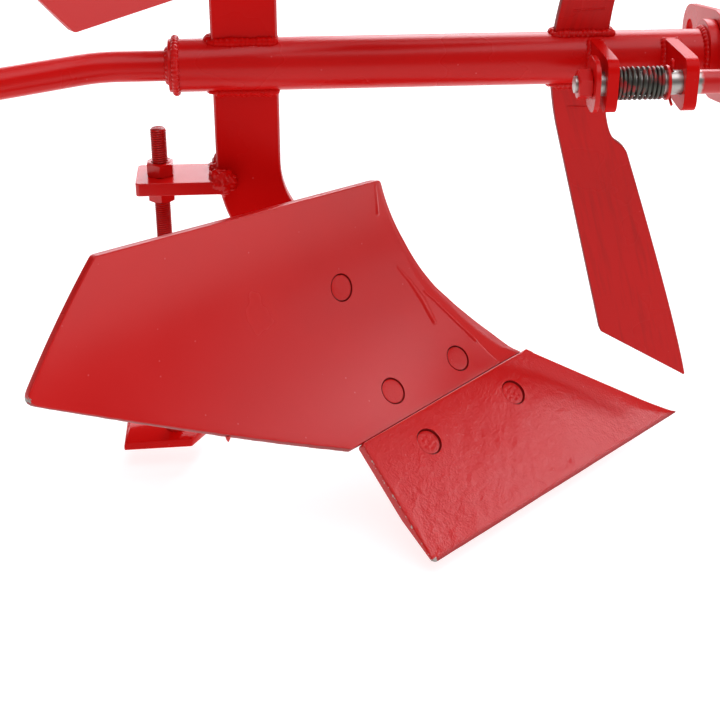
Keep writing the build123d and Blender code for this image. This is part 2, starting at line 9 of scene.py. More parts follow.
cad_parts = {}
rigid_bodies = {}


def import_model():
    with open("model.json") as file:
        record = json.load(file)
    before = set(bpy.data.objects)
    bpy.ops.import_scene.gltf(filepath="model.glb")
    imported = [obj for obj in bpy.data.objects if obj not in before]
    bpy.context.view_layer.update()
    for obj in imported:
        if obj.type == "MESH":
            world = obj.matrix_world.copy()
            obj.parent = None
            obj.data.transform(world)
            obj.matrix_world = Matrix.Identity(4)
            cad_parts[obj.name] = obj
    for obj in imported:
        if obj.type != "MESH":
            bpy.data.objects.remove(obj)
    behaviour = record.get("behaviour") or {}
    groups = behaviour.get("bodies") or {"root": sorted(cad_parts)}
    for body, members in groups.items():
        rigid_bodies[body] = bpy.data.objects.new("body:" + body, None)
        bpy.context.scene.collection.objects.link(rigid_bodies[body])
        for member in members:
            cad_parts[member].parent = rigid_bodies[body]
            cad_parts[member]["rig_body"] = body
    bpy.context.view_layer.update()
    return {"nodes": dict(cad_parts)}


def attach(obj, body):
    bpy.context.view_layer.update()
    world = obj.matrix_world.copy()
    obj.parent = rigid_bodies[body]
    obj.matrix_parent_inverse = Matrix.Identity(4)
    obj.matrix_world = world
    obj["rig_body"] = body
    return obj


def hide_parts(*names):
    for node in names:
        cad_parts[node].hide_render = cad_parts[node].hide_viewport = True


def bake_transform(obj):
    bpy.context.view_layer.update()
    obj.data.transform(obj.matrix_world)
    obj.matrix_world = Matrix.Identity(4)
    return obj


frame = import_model()


# Head: the hitch bush between two plates, the front plate, the bearing sleeve and the index plate.
# They are cut from steel plate and tube, welded together and sprayed with glossy red enamel, and a
# zinc-plated grease nipple is screwed into the sleeve.
mm = 0.001
deep_red = (0.58, 0.0030, 0.0025, 1)
full_red = (0.66, 0.0050, 0.0042, 1)
# Pale pink for painted glints on the dust nibs.
painted_glint_pink = (0.80, 0.16, 0.17, 1)
bare_metal = (0.40, 0.38, 0.35, 1)
# A very dark red for painted shade on arrises and in recesses, and for the coulter's streaks.
shade_and_streak_red = (0.10, 0.0025, 0.0025, 1)


def node_maker(tree):
    """Ways to add to a node tree: a node with its sockets by name, one socket, a sum, a mix of two colours,
    cloudy noise and a change of range."""
    def put(value, socket):
        if isinstance(value, bpy.types.NodeSocket):
            tree.links.new(value, socket)
        else:
            socket.default_value = value

    def add(kind, settings=None, **sockets):
        node = tree.nodes.new(kind)
        for key, value in (settings or {}).items():
            setattr(node, key, value)
        for key, value in sockets.items():
            put(value, node.inputs[key.replace("_", " ")])
        return node

    def maths(operation, *values):
        node = add("ShaderNodeMath", {"operation": operation})
        for position, value in enumerate(values):
            put(value, node.inputs[position])
        return node.outputs[0]

    def mix(factor, first, second):
        return add("ShaderNodeMix", {"data_type": "RGBA"}, Factor=factor, A=first, B=second).outputs["Result"]

    def clouds(place, scale, detail, roughness=0.5):
        node = add("ShaderNodeTexNoise", Vector=place, Scale=scale, Detail=detail, Roughness=roughness)
        return node.outputs["Fac"]

    def ranged(value, low, high, start=0.0, end=1.0):
        node = add("ShaderNodeMapRange", Value=value, From_Min=start, From_Max=end, To_Min=low, To_Max=high)
        return node.outputs["Result"]

    return add, put, maths, mix, clouds, ranged


def new_finish(name):
    """A new material, its shader's inputs and the ways to add to its nodes."""
    finish = bpy.data.materials.new(name)
    finish.use_nodes = True
    shader = finish.node_tree.nodes["Principled BSDF"].inputs
    return finish, shader, *node_maker(finish.node_tree)


def red_enamel(name, gloss, peel, peel_size, dull=0.28, streak_lean=None, worn=False):
    """Sprayed red enamel: cloudy, with orange peel, dust nibs coloured paler as painted glints, painted shade
    on arrises and in recesses, and chips to the steel.
    """
    finish, shader, add, put, maths, mix, clouds, ranged = new_finish(name)
    place = add("ShaderNodeTexCoord").outputs["Object"]
    cloud = clouds(place, 16.0, 3.0)
    dust = add("ShaderNodeTexVoronoi", Vector=place, Scale=70.0).outputs["Distance"]
    nibs = ranged(dust, 1.0, 0.0, 0.02, 0.06)
    # Painted glints: the dust nibs are coloured paler, as if they caught the light.
    tone = mix(maths("MULTIPLY", nibs, 0.35), mix(cloud, deep_red, full_red), painted_glint_pink)
    height = maths("MULTIPLY_ADD", nibs, 0.3, clouds(place, 1 / peel_size, 4.0, 0.55))
    if streak_lean is not None:
        drawn = add("ShaderNodeMapping", {"vector_type": "TEXTURE"}, Vector=place,
                    Rotation=(0, streak_lean, 0), Scale=(4.5 * mm, 60 * mm, 60 * mm))
        lines = clouds(drawn.outputs["Vector"], 1.0, 3.0, 0.6)
        height = maths("MULTIPLY_ADD", lines, 0.9, height)
        tone = mix(ranged(lines, 0.0, 0.25, 0.50, 0.80), tone, shade_and_streak_red)
    bump = add("ShaderNodeBump", Strength=peel, Distance=0.5 * mm, Height=height)
    sheen = ranged(cloud, dull - 0.05, dull + 0.05)
    # Chips to bare steel where worn, and painted shade: a darker, rougher red where the shade mark is set, on
    # arrises, silhouettes, thread grooves and hole walls.
    if worn:
        rubbed = add("ShaderNodeAttribute", {"attribute_name": "worn"}).outputs["Fac"]
        bare = ranged(maths("ADD", rubbed, clouds(place, 380.0, 3.0)), 0.0, 1.0, 0.98, 1.06)
        thin = add("ShaderNodeAttribute", {"attribute_name": "thin"}).outputs["Fac"]
        tone = mix(bare, mix(maths("MULTIPLY", thin, 0.65), tone, shade_and_streak_red), bare_metal)
        sheen = maths("MULTIPLY_ADD", bare, 0.2, maths("MULTIPLY_ADD", thin, 0.3, sheen))
        put(maths("MULTIPLY", bare, 0.8), shader["Metallic"])
    put(tone, shader["Base Color"])
    put(sheen, shader["Roughness"])
    put(bump.outputs["Normal"], shader["Normal"])
    put(gloss, shader["Specular IOR Level"])
    return finish


def steel(name, tint, dull, roughness, scratch):
    """Bare or plated steel, clouded between two tints, with fine scratches."""
    finish, shader, add, put, maths, mix, clouds, ranged = new_finish(name)
    place = add("ShaderNodeTexCoord").outputs["Object"]
    fine = clouds(place, scratch, 2.0)
    bump = add("ShaderNodeBump", Strength=0.15, Distance=0.1 * mm, Height=fine)
    put(mix(clouds(place, 110.0, 4.0), dull, tint), shader["Base Color"])
    put(ranged(fine, roughness - 0.08, roughness + 0.1), shader["Roughness"])
    put(bump.outputs["Normal"], shader["Normal"])
    put(1.0, shader["Metallic"])
    return finish


plate_enamel = red_enamel("plate_enamel", 0.25, 0.10, 5.0 * mm)
zinc_plate = steel("zinc_plate", (0.66, 0.65, 0.60, 1), (0.46, 0.45, 0.41, 1), 0.30, 900.0)


def new_piece(name, mesh, *finishes):
    """An object at the origin with that mesh."""
    piece = bpy.data.objects.new(name, mesh)
    bpy.context.scene.collection.objects.link(piece)
    for finish in finishes:
        mesh.materials.append(finish)
    return piece


def mesh_from(bm, mesh, crease=35.0):
    """A worked form put into a mesh, smooth apart from its sharp edges."""
    bm.to_mesh(mesh)
    bm.free()
    mesh.shade_smooth()
    mesh.set_sharp_from_angle(angle=radians(crease))
    return mesh


def mesh_of(name, points, faces, crease=35.0):
    """A closed mesh with its faces outwards, smooth apart from its sharp edges."""
    mesh = bpy.data.meshes.new(name)
    mesh.from_pydata(points, [], faces)
    bm = bmesh.new()
    bm.from_mesh(mesh)
    bmesh.ops.recalc_face_normals(bm, faces=bm.faces)
    return mesh_from(bm, mesh, crease)


def plain_mesh(piece):
    """What the piece's modifiers make of it becomes its own mesh."""
    bpy.context.view_layer.update()
    evaluated = piece.evaluated_get(bpy.context.evaluated_depsgraph_get())
    mesh = bpy.data.meshes.new_from_object(evaluated)
    piece.modifiers.clear()
    piece.data = mesh
    return piece


def even_face(piece, weight=100):
    """Shading that follows the piece's large faces up to their rims."""
    even = piece.modifiers.new("even_shading", "WEIGHTED_NORMAL")
    even.keep_sharp = True
    even.weight = weight
    return plain_mesh(piece)


def stands_for(piece, node):
    """The piece takes the place of a CAD node, on the body that the node belongs to."""
    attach(piece, frame["nodes"][node]["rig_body"])
    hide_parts(node)


def softened(node, width, finish, edge_finish=None):
    """The CAD node's shape with its sharp edges rounded over, in a finish of their own where one is given."""
    bm = bmesh.new()
    bm.from_mesh(frame["nodes"][node].data)
    bmesh.ops.remove_doubles(bm, verts=bm.verts, dist=0.002 * mm)
    bmesh.ops.dissolve_limit(bm, angle_limit=radians(0.2), verts=bm.verts, edges=bm.edges)
    sharp = [edge for edge in bm.edges if len(edge.link_faces) == 2 and edge.calc_face_angle() > radians(34)]
    bmesh.ops.bevel(bm, geom=sharp, offset=width, offset_type="OFFSET", segments=2, profile=0.5,
                    affect="EDGES", clamp_overlap=True, material=1 if edge_finish else -1)
    mesh = mesh_from(bm, bpy.data.meshes.new(f"{node}_finished"), 48)
    piece = new_piece(f"{node}_finished", mesh, *filter(None, (finish, edge_finish)))
    stands_for(even_face(piece, 50), node)


def new_tree(name, *sockets):
    """A Geometry Nodes tree with named inputs: the tree with its inputs' identifiers, the values that it is
    given, and three ways to add to it."""
    tree = bpy.data.node_groups.new(name, "GeometryNodeTree")
    inputs = {key: tree.interface.new_socket(key, in_out="INPUT", socket_type=f"NodeSocket{kind}").identifier
              for key, kind in sockets}
    tree.interface.new_socket("Made", in_out="OUTPUT", socket_type="NodeSocketGeometry")
    add, put, maths, *_ = node_maker(tree)
    return (tree, inputs), add("NodeGroupInput").outputs, add, put, maths


def wire_along(add, curve, radius, around):
    """A smooth round wire along a curve, with closed ends."""
    section = add("GeometryNodeCurvePrimitiveCircle", Resolution=around, Radius=1.0).outputs["Curve"]
    wire = add("GeometryNodeCurveToMesh", Curve=curve, Profile_Curve=section, Scale=radius, Fill_Caps=True)
    return add("GeometryNodeSetShadeSmooth", Geometry=wire.outputs["Mesh"]).outputs["Geometry"]


def end_tree(add, put, made, finish):
    """The end of a tree: its instances made real and its finish put on."""
    made = add("GeometryNodeRealizeInstances", Geometry=made).outputs["Geometry"]
    made = add("GeometryNodeSetMaterial", Geometry=made, Material=finish).outputs["Geometry"]
    put(made, add("NodeGroupOutput").inputs["Made"])


weld_bead, given, add, put, maths = new_tree(
    "weld_bead", ("Seam", "Geometry"), ("Bead radius", "Float"), ("Ripple length", "Float"),
    ("Unevenness", "Float"), ("Seed", "Float"), ("Finish", "Material"))
seam = add("GeometryNodeMeshToCurve", Mesh=given["Seam"]).outputs["Curve"]
seam = add("GeometryNodeResampleCurve", {"mode": "LENGTH"}, Curve=seam,
           Length=maths("MULTIPLY", given["Ripple length"], 0.2)).outputs["Curve"]
along = add("GeometryNodeSplineParameter").outputs
turns = maths("DIVIDE", along["Length"], given["Ripple length"])
ripple = maths("MULTIPLY_ADD", maths("SINE", maths("MULTIPLY", turns, 2 * pi)), 0.10, 1.0)
lumps = add("ShaderNodeTexNoise", {"noise_dimensions": "4D"}, W=given["Seed"], Scale=150.0, Detail=1.0,
            Vector=add("GeometryNodeInputPosition").outputs[0]).outputs["Fac"]
lumps = maths("MULTIPLY_ADD", maths("SUBTRACT", lumps, 0.5), maths("MULTIPLY", given["Unevenness"], 2.0), 1.0)
to_end = maths("MINIMUM", along["Factor"], maths("SUBTRACT", 1.0, along["Factor"]))
ends = add("ShaderNodeMapRange", {"interpolation_type": "SMOOTHSTEP"}, Value=to_end, From_Max=0.05,
           To_Min=0.5)
swell = maths("MULTIPLY", maths("MULTIPLY", ripple, lumps), ends.outputs["Result"])
bead = wire_along(add, seam, maths("MULTIPLY", swell, given["Bead radius"]), 10)
end_tree(add, put, bead, given["Finish"])


def path_mesh(name, paths):
    """Loose edges along each path of points, closed where a path ends at its start."""
    points, edges = [], []
    for path in paths:
        closed = (Vector(path[0]) - Vector(path[-1])).length < 1e-7
        stops = path[:-1] if closed else path
        first = len(points)
        points += [Vector(p) for p in stops]
        edges += [(first + n, first + n + 1) for n in range(len(stops) - 1)]
        if closed:
            edges.append((len(points) - 1, first))
    mesh = bpy.data.meshes.new(name)
    mesh.from_pydata(points, edges, [])
    return mesh


def made_by(tree_and_inputs, name, mesh, values):
    """What a Geometry Nodes tree makes of a mesh, as a plain mesh."""
    tree, inputs = tree_and_inputs
    piece = new_piece(name, mesh)
    maker = piece.modifiers.new(tree.name, "NODES")
    maker.node_group = tree
    for key, value in values.items():
        maker[inputs[key]] = value
    return plain_mesh(piece)


def painted_on(piece, body):
    """A painted piece that stands for no CAD node, on the body that carries it."""
    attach(piece, body)


def weld(name, body, seams, radius, unevenness=0.25, seed=1.0, finish=plate_enamel):
    """Weld beads along seams, laid over the joint and painted with it."""
    values = {"Bead radius": radius, "Ripple length": radius * 1.1, "Unevenness": unevenness, "Seed": seed,
              "Finish": finish}
    painted_on(made_by(weld_bead, name, path_mesh(name, seams), values), body)


def ring_across(x, radius, start=0.0, end=360.0):
    """Points round the turnover axis at one place along it."""
    steps = max(8, round((end - start) / 6))
    turns = [radians(start + (end - start) * n / steps) for n in range(steps + 1)]
    return [Vector((x, radius * cos(t), radius * sin(t))) for t in turns]


def ring_level(x, z, radius):
    """Points round an upright axis beside the turnover axis, at one height."""
    turns = [radians(7.5 * n) for n in range(49)]
    return [Vector((x + radius * cos(t), radius * sin(t), z)) for t in turns]


for head_node in ("index_plate", "front_plate", "hitch_plate_upper", "hitch_plate_lower", "hitch_bush",
                  "bearing_sleeve"):
    softened(head_node, 0.7 * mm, plate_enamel)
softened("grease_nipple", 0.2 * mm, zinc_plate)

sleeve_r, sleeve_rear, sleeve_front = 26.58 * mm, -0.149, -0.079
bush_r, plate_outside, plate_inside = 20 * mm, 41 * mm, 33 * mm
front_face, front_half_width = -0.069, 0.034
head_seams = [ring_across(sleeve_rear, sleeve_r), ring_across(sleeve_front, sleeve_r)]
for side in (1, -1):
    head_seams += [ring_level(0, side * face, bush_r) for face in (plate_outside, plate_inside)]
    head_seams.append([(front_face, y, side * plate_inside) for y in (-front_half_width, front_half_width)])
weld("head_welds", "head", head_seams, 2.6 * mm, seed=2.0)


# Turnover tube: a steel tube that carries both plough bodies and turns in the sleeve, with the thrust
# collar welded round it and the rear plug welded into its end. A castle nut on the front stub, a
# washer and a split pin hold it in the sleeve.
soft_wire, given, add, put, maths = new_tree(
    "soft_wire", ("Path", "Geometry"), ("Wire radius", "Float"), ("Finish", "Material"))
path = add("GeometryNodeMeshToCurve", Mesh=given["Path"]).outputs["Curve"]
path = add("GeometryNodeCurveSplineType", {"spline_type": "CATMULL_ROM"}, Curve=path).outputs["Curve"]
path = add("GeometryNodeResampleCurve", {"mode": "LENGTH"}, Curve=path, Length=0.7 * mm).outputs["Curve"]
end_tree(add, put, wire_along(add, path, given["Wire radius"], 12), given["Finish"])


def split_pin(node, x, y, half_bore, eye, r, finish):
    """A wire folded to an eye above, its two legs through the bore and bent apart below."""
    one_side = [(r, half_bore), (eye * 0.7, half_bore + eye * 0.7), (eye, half_bore + eye * 1.7),
                (eye * 0.6, half_bore + eye * 2.6), (0, half_bore + eye * 2.9)]
    foot = [(r, -half_bore), (r * 1.3, -half_bore - r), (r * 3.2, -half_bore - r * 3),
            (r * 8, -half_bore - r * 5)]
    legs = foot[::-1] + one_side + [(-a, b) for a, b in one_side[-2::-1]] + [(-a, b) for a, b in foot]
    path = path_mesh(node, [[Vector((x, y + across, height)) for across, height in legs]])
    stands_for(made_by(soft_wire, f"{node}_wire", path, {"Wire radius": r, "Finish": finish}), node)


def mark(mesh, name, values):
    """A value at each point of a mesh, for its finish to read."""
    mesh.attributes.new(name, "FLOAT", "POINT").data.foreach_set("value", values)


def joined(rings):
    """Faces between rings of points, each ring given by its points' numbers."""
    count = len(rings[0])
    return [(upper[n], upper[(n + 1) % count], lower[(n + 1) % count], lower[n])
            for upper, lower in zip(rings, rings[1:]) for n in range(count)]


def skin(count, around):
    """Faces of a form made of rings of points one after another, closed at both ends."""
    rings = [tuple(range(n * around, (n + 1) * around)) for n in range(count)]
    return joined(rings) + [rings[0], rings[-1]]


def square_to(axis):
    """Two ways square to an axis and to each other."""
    side = axis.orthogonal().normalized()
    return side, axis.cross(side)


def threaded_rod(name, foot, axis, length, radius, pitch, depth, chamfer, finish):
    """A screwed rod, from its foot along an axis, with a chamfered end."""
    axis = Vector(axis)
    side, other = square_to(axis)
    rings, around = round(length / (pitch / 6)), 24
    points, thin = [], []
    for ring in range(rings + 1):
        along = length * ring / rings
        for step in range(around):
            turn = 2 * pi * step / around
            groove = 0.5 - 0.5 * cos(2 * pi * along / pitch - turn)
            r = min(radius - depth * groove, radius - max(0.0, chamfer - (length - along)))
            points.append(Vector(foot) + axis * along + (side * cos(turn) + other * sin(turn)) * r)
            # Painted shade: each thread's groove is darkened by its depth.
            thin.append(groove ** 2)
    mesh = mesh_of(name, points, skin(rings + 1, around), 60)
    mark(mesh, "thin", thin)
    return new_piece(name, mesh, finish)


for tube_node in ("turnover_tube", "thrust_collar", "rear_plug"):
    softened(tube_node, 0.6 * mm, plate_enamel)
softened("retaining_washer", 0.4 * mm, zinc_plate)
softened("retaining_nut", 0.6 * mm, zinc_plate)
stub_from, stub_length, stub_r, stub_pitch = -0.1137, 0.078, 12 * mm, 2 * mm
stub = threaded_rod("front_stub_thread", (stub_from, 0, 0), (1, 0, 0), stub_length, stub_r, stub_pitch,
                    0.6 * mm, 2 * mm, zinc_plate)
stands_for(stub, "front_stub")
split_pin("retaining_pin", -0.0467, 0.0, 13 * mm, 2.2 * mm, 1.2 * mm, zinc_plate)
tube_r, collar_rear, tube_rear, plug_rear, lever_r = 19.0 * mm, -0.1633, -0.55, -0.555, 11 * mm
tube_seams = [ring_across(x, radius) for x, radius in (
    (collar_rear, tube_r), (tube_rear, tube_r), (plug_rear, lever_r))]
weld("tube_welds", "turnover", tube_seams, 2.8 * mm, seed=3.0)


# Turning lever: a bent round bar welded into the rear plug, for swinging the plough over by hand.
# The bar is sprayed with the tube, and a ribbed black rubber grip is pushed over its end.
rubber, shader, add, put, maths, mix, clouds, ranged = new_finish("grip_rubber")
place = add("ShaderNodeTexCoord").outputs["Object"]
bloom = clouds(place, 45.0, 5.0)
pores = clouds(place, 1400.0, 2.0)
put(mix(bloom, (0.012, 0.012, 0.013, 1), (0.032, 0.031, 0.030, 1)), shader["Base Color"])
put(ranged(bloom, 0.5, 0.72), shader["Roughness"])
bump = add("ShaderNodeBump", Strength=0.25, Distance=0.1 * mm, Height=pores)
put(bump.outputs["Normal"], shader["Normal"])


def turned_form(outline, start=(0, 0, 0), axis=(0, 0, 1), around=48):
    """A round form by its outline, (along, radius) pairs from its start along an axis: points and faces."""
    axis = Vector(axis).normalized()
    side, other = square_to(axis)
    points = []
    for along, radius in outline:
        for step in range(around):
            turn = 2 * pi * step / around
            points.append(Vector(start) + axis * along + (side * cos(turn) + other * sin(turn)) * radius)
    return points, skin(len(outline), around)


softened("turning_lever", 0.6 * mm, plate_enamel)
lever_turn, lever_elbow, lever_bend_r, lever_arm, grip_past_end = radians(28), -0.591, 0.06, 0.255, 0.006
lever_way = Vector((-cos(lever_turn), -sin(lever_turn), 0))
bend_end = Vector((lever_elbow - lever_bend_r * sin(lever_turn), -lever_bend_r * (1 - cos(lever_turn)), 0))
grip_end = bend_end + lever_way * (lever_arm + grip_past_end)
ribs, first_rib, rib_pitch = 22, 12.5, 4.2
grip_outline = [(0.0, 4.0), (0.6, 10.0), (2.2, 13.3), (4.5, 15.3), (8.0, 16.0), (11.5, 16.0)]
for rib in range(ribs):
    crest = first_rib + rib * rib_pitch
    grip_outline += [(crest, 14.8), (crest + 0.7, 14.5), (crest + 1.4, 14.8), (crest + 2.0, 15.8),
                     (crest + 2.8, 16.0), (crest + 3.6, 15.8)]
grip_outline += [(106, 14.8), (108, 15.2), (110, 16.0), (113, 16.0), (114.5, 15.2), (115, 13.8)]
grip = turned_form([(along * mm, radius * mm) for along, radius in grip_outline], grip_end, -lever_way)
stands_for(new_piece("lever_grip_ribbed", mesh_of("lever_grip", *grip), rubber), "lever_grip")


# Lock: two flame-cut lugs welded to the tube's side guide a steel plunger, which a spring pushes into
# the index plate. A pull tab is clamped by a nut on the plunger's screwed tail, and a split pin
# through the plunger carries the spring's washer.
plunger_steel = steel("plunger_steel", (0.52, 0.50, 0.47, 1), (0.30, 0.28, 0.26, 1), 0.34, 700.0)
add, put, maths, mix, clouds, ranged = node_maker(plunger_steel.node_tree)
shader = plunger_steel.node_tree.nodes["Principled BSDF"].inputs
place = add("ShaderNodeTexCoord").outputs["Object"]
ahead = add("ShaderNodeSeparateXYZ", Vector=place).outputs["X"]
spray_from, spray_full = -0.1805, -0.1785
drift = maths("MULTIPLY_ADD", clouds(place, 300.0, 3.0), 0.004, ahead)
sprayed = ranged(drift, 0.0, 1.0, spray_from, spray_full)
put(mix(sprayed, shader["Base Color"].links[0].from_socket, deep_red), shader["Base Color"])
put(maths("SUBTRACT", 1.0, sprayed), shader["Metallic"])
lock_y, tab_nut_x, plunger_pin_x = -0.064, -0.2688, -0.2023
m12_across, m12_height = 19 * mm, 10 * mm


def nut_form(across, height, bore, around=48):
    """A hexagon nut standing on the level plane, chamfered at both ends: its points and faces."""
    flat, slope = across / 2, tan(radians(30))
    shoulder = flat * 0.97
    points = []
    for step in range(around):
        turn = 2 * pi * step / around
        corner = flat / cos((turn + pi / 6) % (pi / 3) - pi / 6)
        drop = (corner - shoulder) * slope
        way = Vector((cos(turn), sin(turn), 0))
        levels = ((bore, 0.0), (shoulder, 0.0), (corner, drop), (corner, height - drop), (shoulder, height),
                  (bore * 1.1, height), (bore, height - bore * 0.1))
        points += [way * radius + Vector((0, 0, level)) for radius, level in levels]
    count = len(levels)
    sections = [tuple(range(step * count, (step + 1) * count)) for step in range(around)]
    return points, joined(sections + sections[:1])


def nut_at(forms, foot, axis, across, height, bore):
    """Adds one nut to a list of points and faces, standing at a foot along an axis."""
    turn = Vector(axis).to_track_quat("Z", "Y")
    points, faces = nut_form(across, height, bore)
    first = len(forms[0])
    forms[0].extend(Vector(foot) + turn @ point for point in points)
    forms[1].extend(tuple(first + corner for corner in face) for face in faces)


satin_enamel = red_enamel("satin_enamel", 0.06, 0.14, 7.0 * mm)
for lug_node in ("lug_rear", "lug_front"):
    softened(lug_node, 2.8 * mm, satin_enamel)
lug_faces = (-0.250, -0.242, -0.1951, -0.1858)
lug_seams = [ring_across(x, tube_r, 123, 237) for x in lug_faces]
weld("lug_welds", "turnover", lug_seams, 2.8 * mm, seed=4.0)
softened("plunger_rod", 0.3 * mm, plunger_steel)
softened("pull_tab", 0.5 * mm, plate_enamel)
softened("spring_washer", 0.3 * mm, plate_enamel)
tab_nut = [[], []]
nut_at(tab_nut, (tab_nut_x, lock_y, 0), (1, 0, 0), m12_across, m12_height, 6.15 * mm)
stands_for(new_piece("tab_nut_chamfered", mesh_of("tab_nut", *tab_nut), plate_enamel), "tab_nut")
split_pin("plunger_pin", plunger_pin_x, lock_y, 8.7 * mm, 2.6 * mm, 1.0 * mm, plate_enamel)

coil_spring, given, add, put, maths = new_tree(
    "coil_spring", ("Base", "Geometry"), ("Wire radius", "Float"), ("Coil radius", "Float"),
    ("Turns", "Float"), ("Length", "Float"), ("Start", "Vector"), ("Finish", "Material"))
coil = add("GeometryNodeCurveSpiral", Resolution=40, Rotations=given["Turns"], Height=given["Length"],
           Start_Radius=given["Coil radius"], End_Radius=given["Coil radius"]).outputs["Curve"]
turned_part = maths("MULTIPLY", add("GeometryNodeSplineParameter").outputs["Factor"], 2 * pi)
closing = maths("MULTIPLY", maths("MULTIPLY", maths("SINE", turned_part), given["Length"]), -0.17 / (2 * pi))
shift = add("ShaderNodeCombineXYZ", Z=closing).outputs["Vector"]
coil = add("GeometryNodeSetPosition", Geometry=coil, Offset=shift).outputs["Geometry"]
coil = add("GeometryNodeTransform", Geometry=coil, Translation=given["Start"], Rotation=(0, pi / 2, 0))
wire = wire_along(add, coil.outputs["Geometry"], given["Wire radius"], 14)
end_tree(add, put, wire, given["Finish"])

spring_wire, shader, add, put, maths, mix, clouds, ranged = new_finish("oiled_spring_wire")
oiled_wire, red_mist = (0.075, 0.078, 0.066, 1), (0.30, 0.012, 0.012, 1)
patch = clouds(add("ShaderNodeTexCoord").outputs["Object"], 95.0, 4.0, 0.6)
over_spray = ranged(patch, 0.0, 1.0, 0.50, 0.60)
put(mix(over_spray, oiled_wire, red_mist), shader["Base Color"])
put(maths("MULTIPLY_ADD", over_spray, -0.7, 0.8), shader["Metallic"])
put(ranged(patch, 0.28, 0.45), shader["Roughness"])
bump = add("ShaderNodeBump", Strength=0.2, Distance=0.2 * mm, Height=patch)
put(bump.outputs["Normal"], shader["Normal"])

spring_from, spring_to = -0.2405, -0.2078
spring = made_by(coil_spring, "lock_spring_wound", bpy.data.meshes.new("lock_spring"), {
    "Wire radius": 1.3 * mm, "Coil radius": 10.4 * mm, "Turns": 10.0, "Length": spring_to - spring_from,
    "Start": (spring_from, lock_y, 0.0), "Finish": spring_wire})
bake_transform(spring)
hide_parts("lock_spring")


# Legs: flame-cut bars, bent forward below the tube, that carry each body. A heavy weld runs round the
# leg's top where it is notched over the tube, and the whole is sprayed in one coat.
edge_enamel = red_enamel("edge_enamel", 0.8, 0.08, 7.0 * mm, 0.2)
weld_rear, weld_front, weld_half_width, weld_height = -0.5255, -0.4790, 7 * mm, 18.0 * mm
halves = (("lower", -1), ("upper", 1))


def seam_round(rear, front, half_width, z):
    """A closed seam round an oblong bar, level at one height."""
    corners = [(rear, -half_width), (front, -half_width), (front, half_width), (rear, half_width)]
    seam = []
    for (x0, y0), (x1, y1) in zip(corners, corners[1:] + corners[:1]):
        seam += [Vector((x0 + (x1 - x0) * n / 8, y0 + (y1 - y0) * n / 8, z)) for n in range(8)]
    return seam + seam[:1]


for half, side in halves:
    softened(f"{half}_leg", 2.0 * mm, satin_enamel, edge_enamel)
    seam = seam_round(weld_rear, weld_front, weld_half_width, side * weld_height)
    weld(f"{half}_leg_weld", "turnover", [seam], 3.5 * mm, 0.45, 5.0 + side, satin_enamel)


# Frog plates and braces: the plate behind each share and mouldboard that they are bolted to, and the
# short bar that stays the mouldboard's middle to the leg, both welded to the leg.
tip = Vector((-144.1, 14.9, -313.8))
edge_turn, land_turn = radians(41.5), radians(41.5 - 2.6)
along_edge = Vector((-cos(edge_turn), -sin(edge_turn), 0))
back_level = Vector((-sin(edge_turn), cos(edge_turn), 0))
share_slope, board_slope, board_r = radians(40), radians(43), 260.0
share_t, board_t, frog_t, leg_half = 8.0, 6.0, 8.0, 6.0
share_run = Vector((cos(share_slope), sin(share_slope)))
joint_rise = 102.9


def profile_normal(slope):
    """Square to the working face, level back and up."""
    return Vector((-sin(slope), cos(slope)))


roll_centre = (share_run * joint_rise - profile_normal(share_slope) * share_t
               + profile_normal(board_slope) * (board_r + board_t))


def share_flat(s, depth):
    """Level back and up from the cutting edge, for a length up the share and a depth behind its face."""
    return share_run * s - profile_normal(share_slope) * depth


def board_flat(s, depth):
    """The same for a length up the mouldboard's curve from the joint."""
    return roll_centre - profile_normal(board_slope + s / board_r) * (board_r + depth)


def in_space(a, flat, side=-1):
    """A place along the cutting edge and in the profile, on the lower or the upper body, in metres."""
    point = tip + along_edge * a + back_level * flat.x + Vector((0, 0, flat.y))
    return Vector((point.x, point.y, -side * point.z)) * mm


def at_leg_side(flat, y):
    """How far along the edge a line through the profile crosses a plane beside the leg."""
    return (tip.y + flat.x * back_level.y - y) / -along_edge.y


for half, side in halves:
    softened(f"{half}_frog", 0.8 * mm, plate_enamel)
    softened(f"{half}_brace", 0.8 * mm, plate_enamel)
    backs = [share_flat(s, share_t + frog_t) for s in range(52, 101, 12)]
    backs += [board_flat(s, board_t + frog_t) for s in range(4, 45, 10)]
    seams = [[in_space(at_leg_side(flat, y), flat, side) for flat in backs] for y in (-leg_half, leg_half)]
    weld(f"{half}_frog_welds", "turnover", seams, 3.2 * mm, 0.3, 8.0 + side)


# Shares and mouldboards: the share is a forged plate with a rough face, thinned behind its cutting edge, and
# the mouldboard a pressed plate whose shin edge is dressed to a rounded bevel. Both are bolted to the frog
# and sprayed, with runs in the paint by the shin and chips at the corners.
share_enamel = red_enamel("share_enamel", 0.4, 0.6, 1.7 * mm, 0.20, worn=True)
board_enamel = red_enamel("board_enamel", 0.45, 0.06, 9.0 * mm, 0.25, worn=True)
joint_lean, heel_lean = tan(radians(1.8)), tan(radians(2.8))
share_heel_a, joint_heel_s = 308.5, 102.5
joint_heel_a = share_heel_a - joint_heel_s * heel_lean


def land_edge(flat):
    """Where along the edge the land side cuts a line of the profile."""
    return flat.x / tan(land_turn)


def spread(points, spacing):
    """Points evenly along a line of points, with both of its ends."""
    lengths = [0.0]
    for p, q in zip(points, points[1:]):
        lengths.append(lengths[-1] + (q - p).length)
    count = max(1, round(lengths[-1] / spacing))
    out, leg = [], 0
    for n in range(count + 1):
        want = lengths[-1] * n / count
        while leg < len(points) - 2 and lengths[leg + 1] < want:
            leg += 1
        part = (want - lengths[leg]) / max(1e-9, lengths[leg + 1] - lengths[leg])
        out.append(points[leg].lerp(points[leg + 1], min(1.0, part)))
    return out


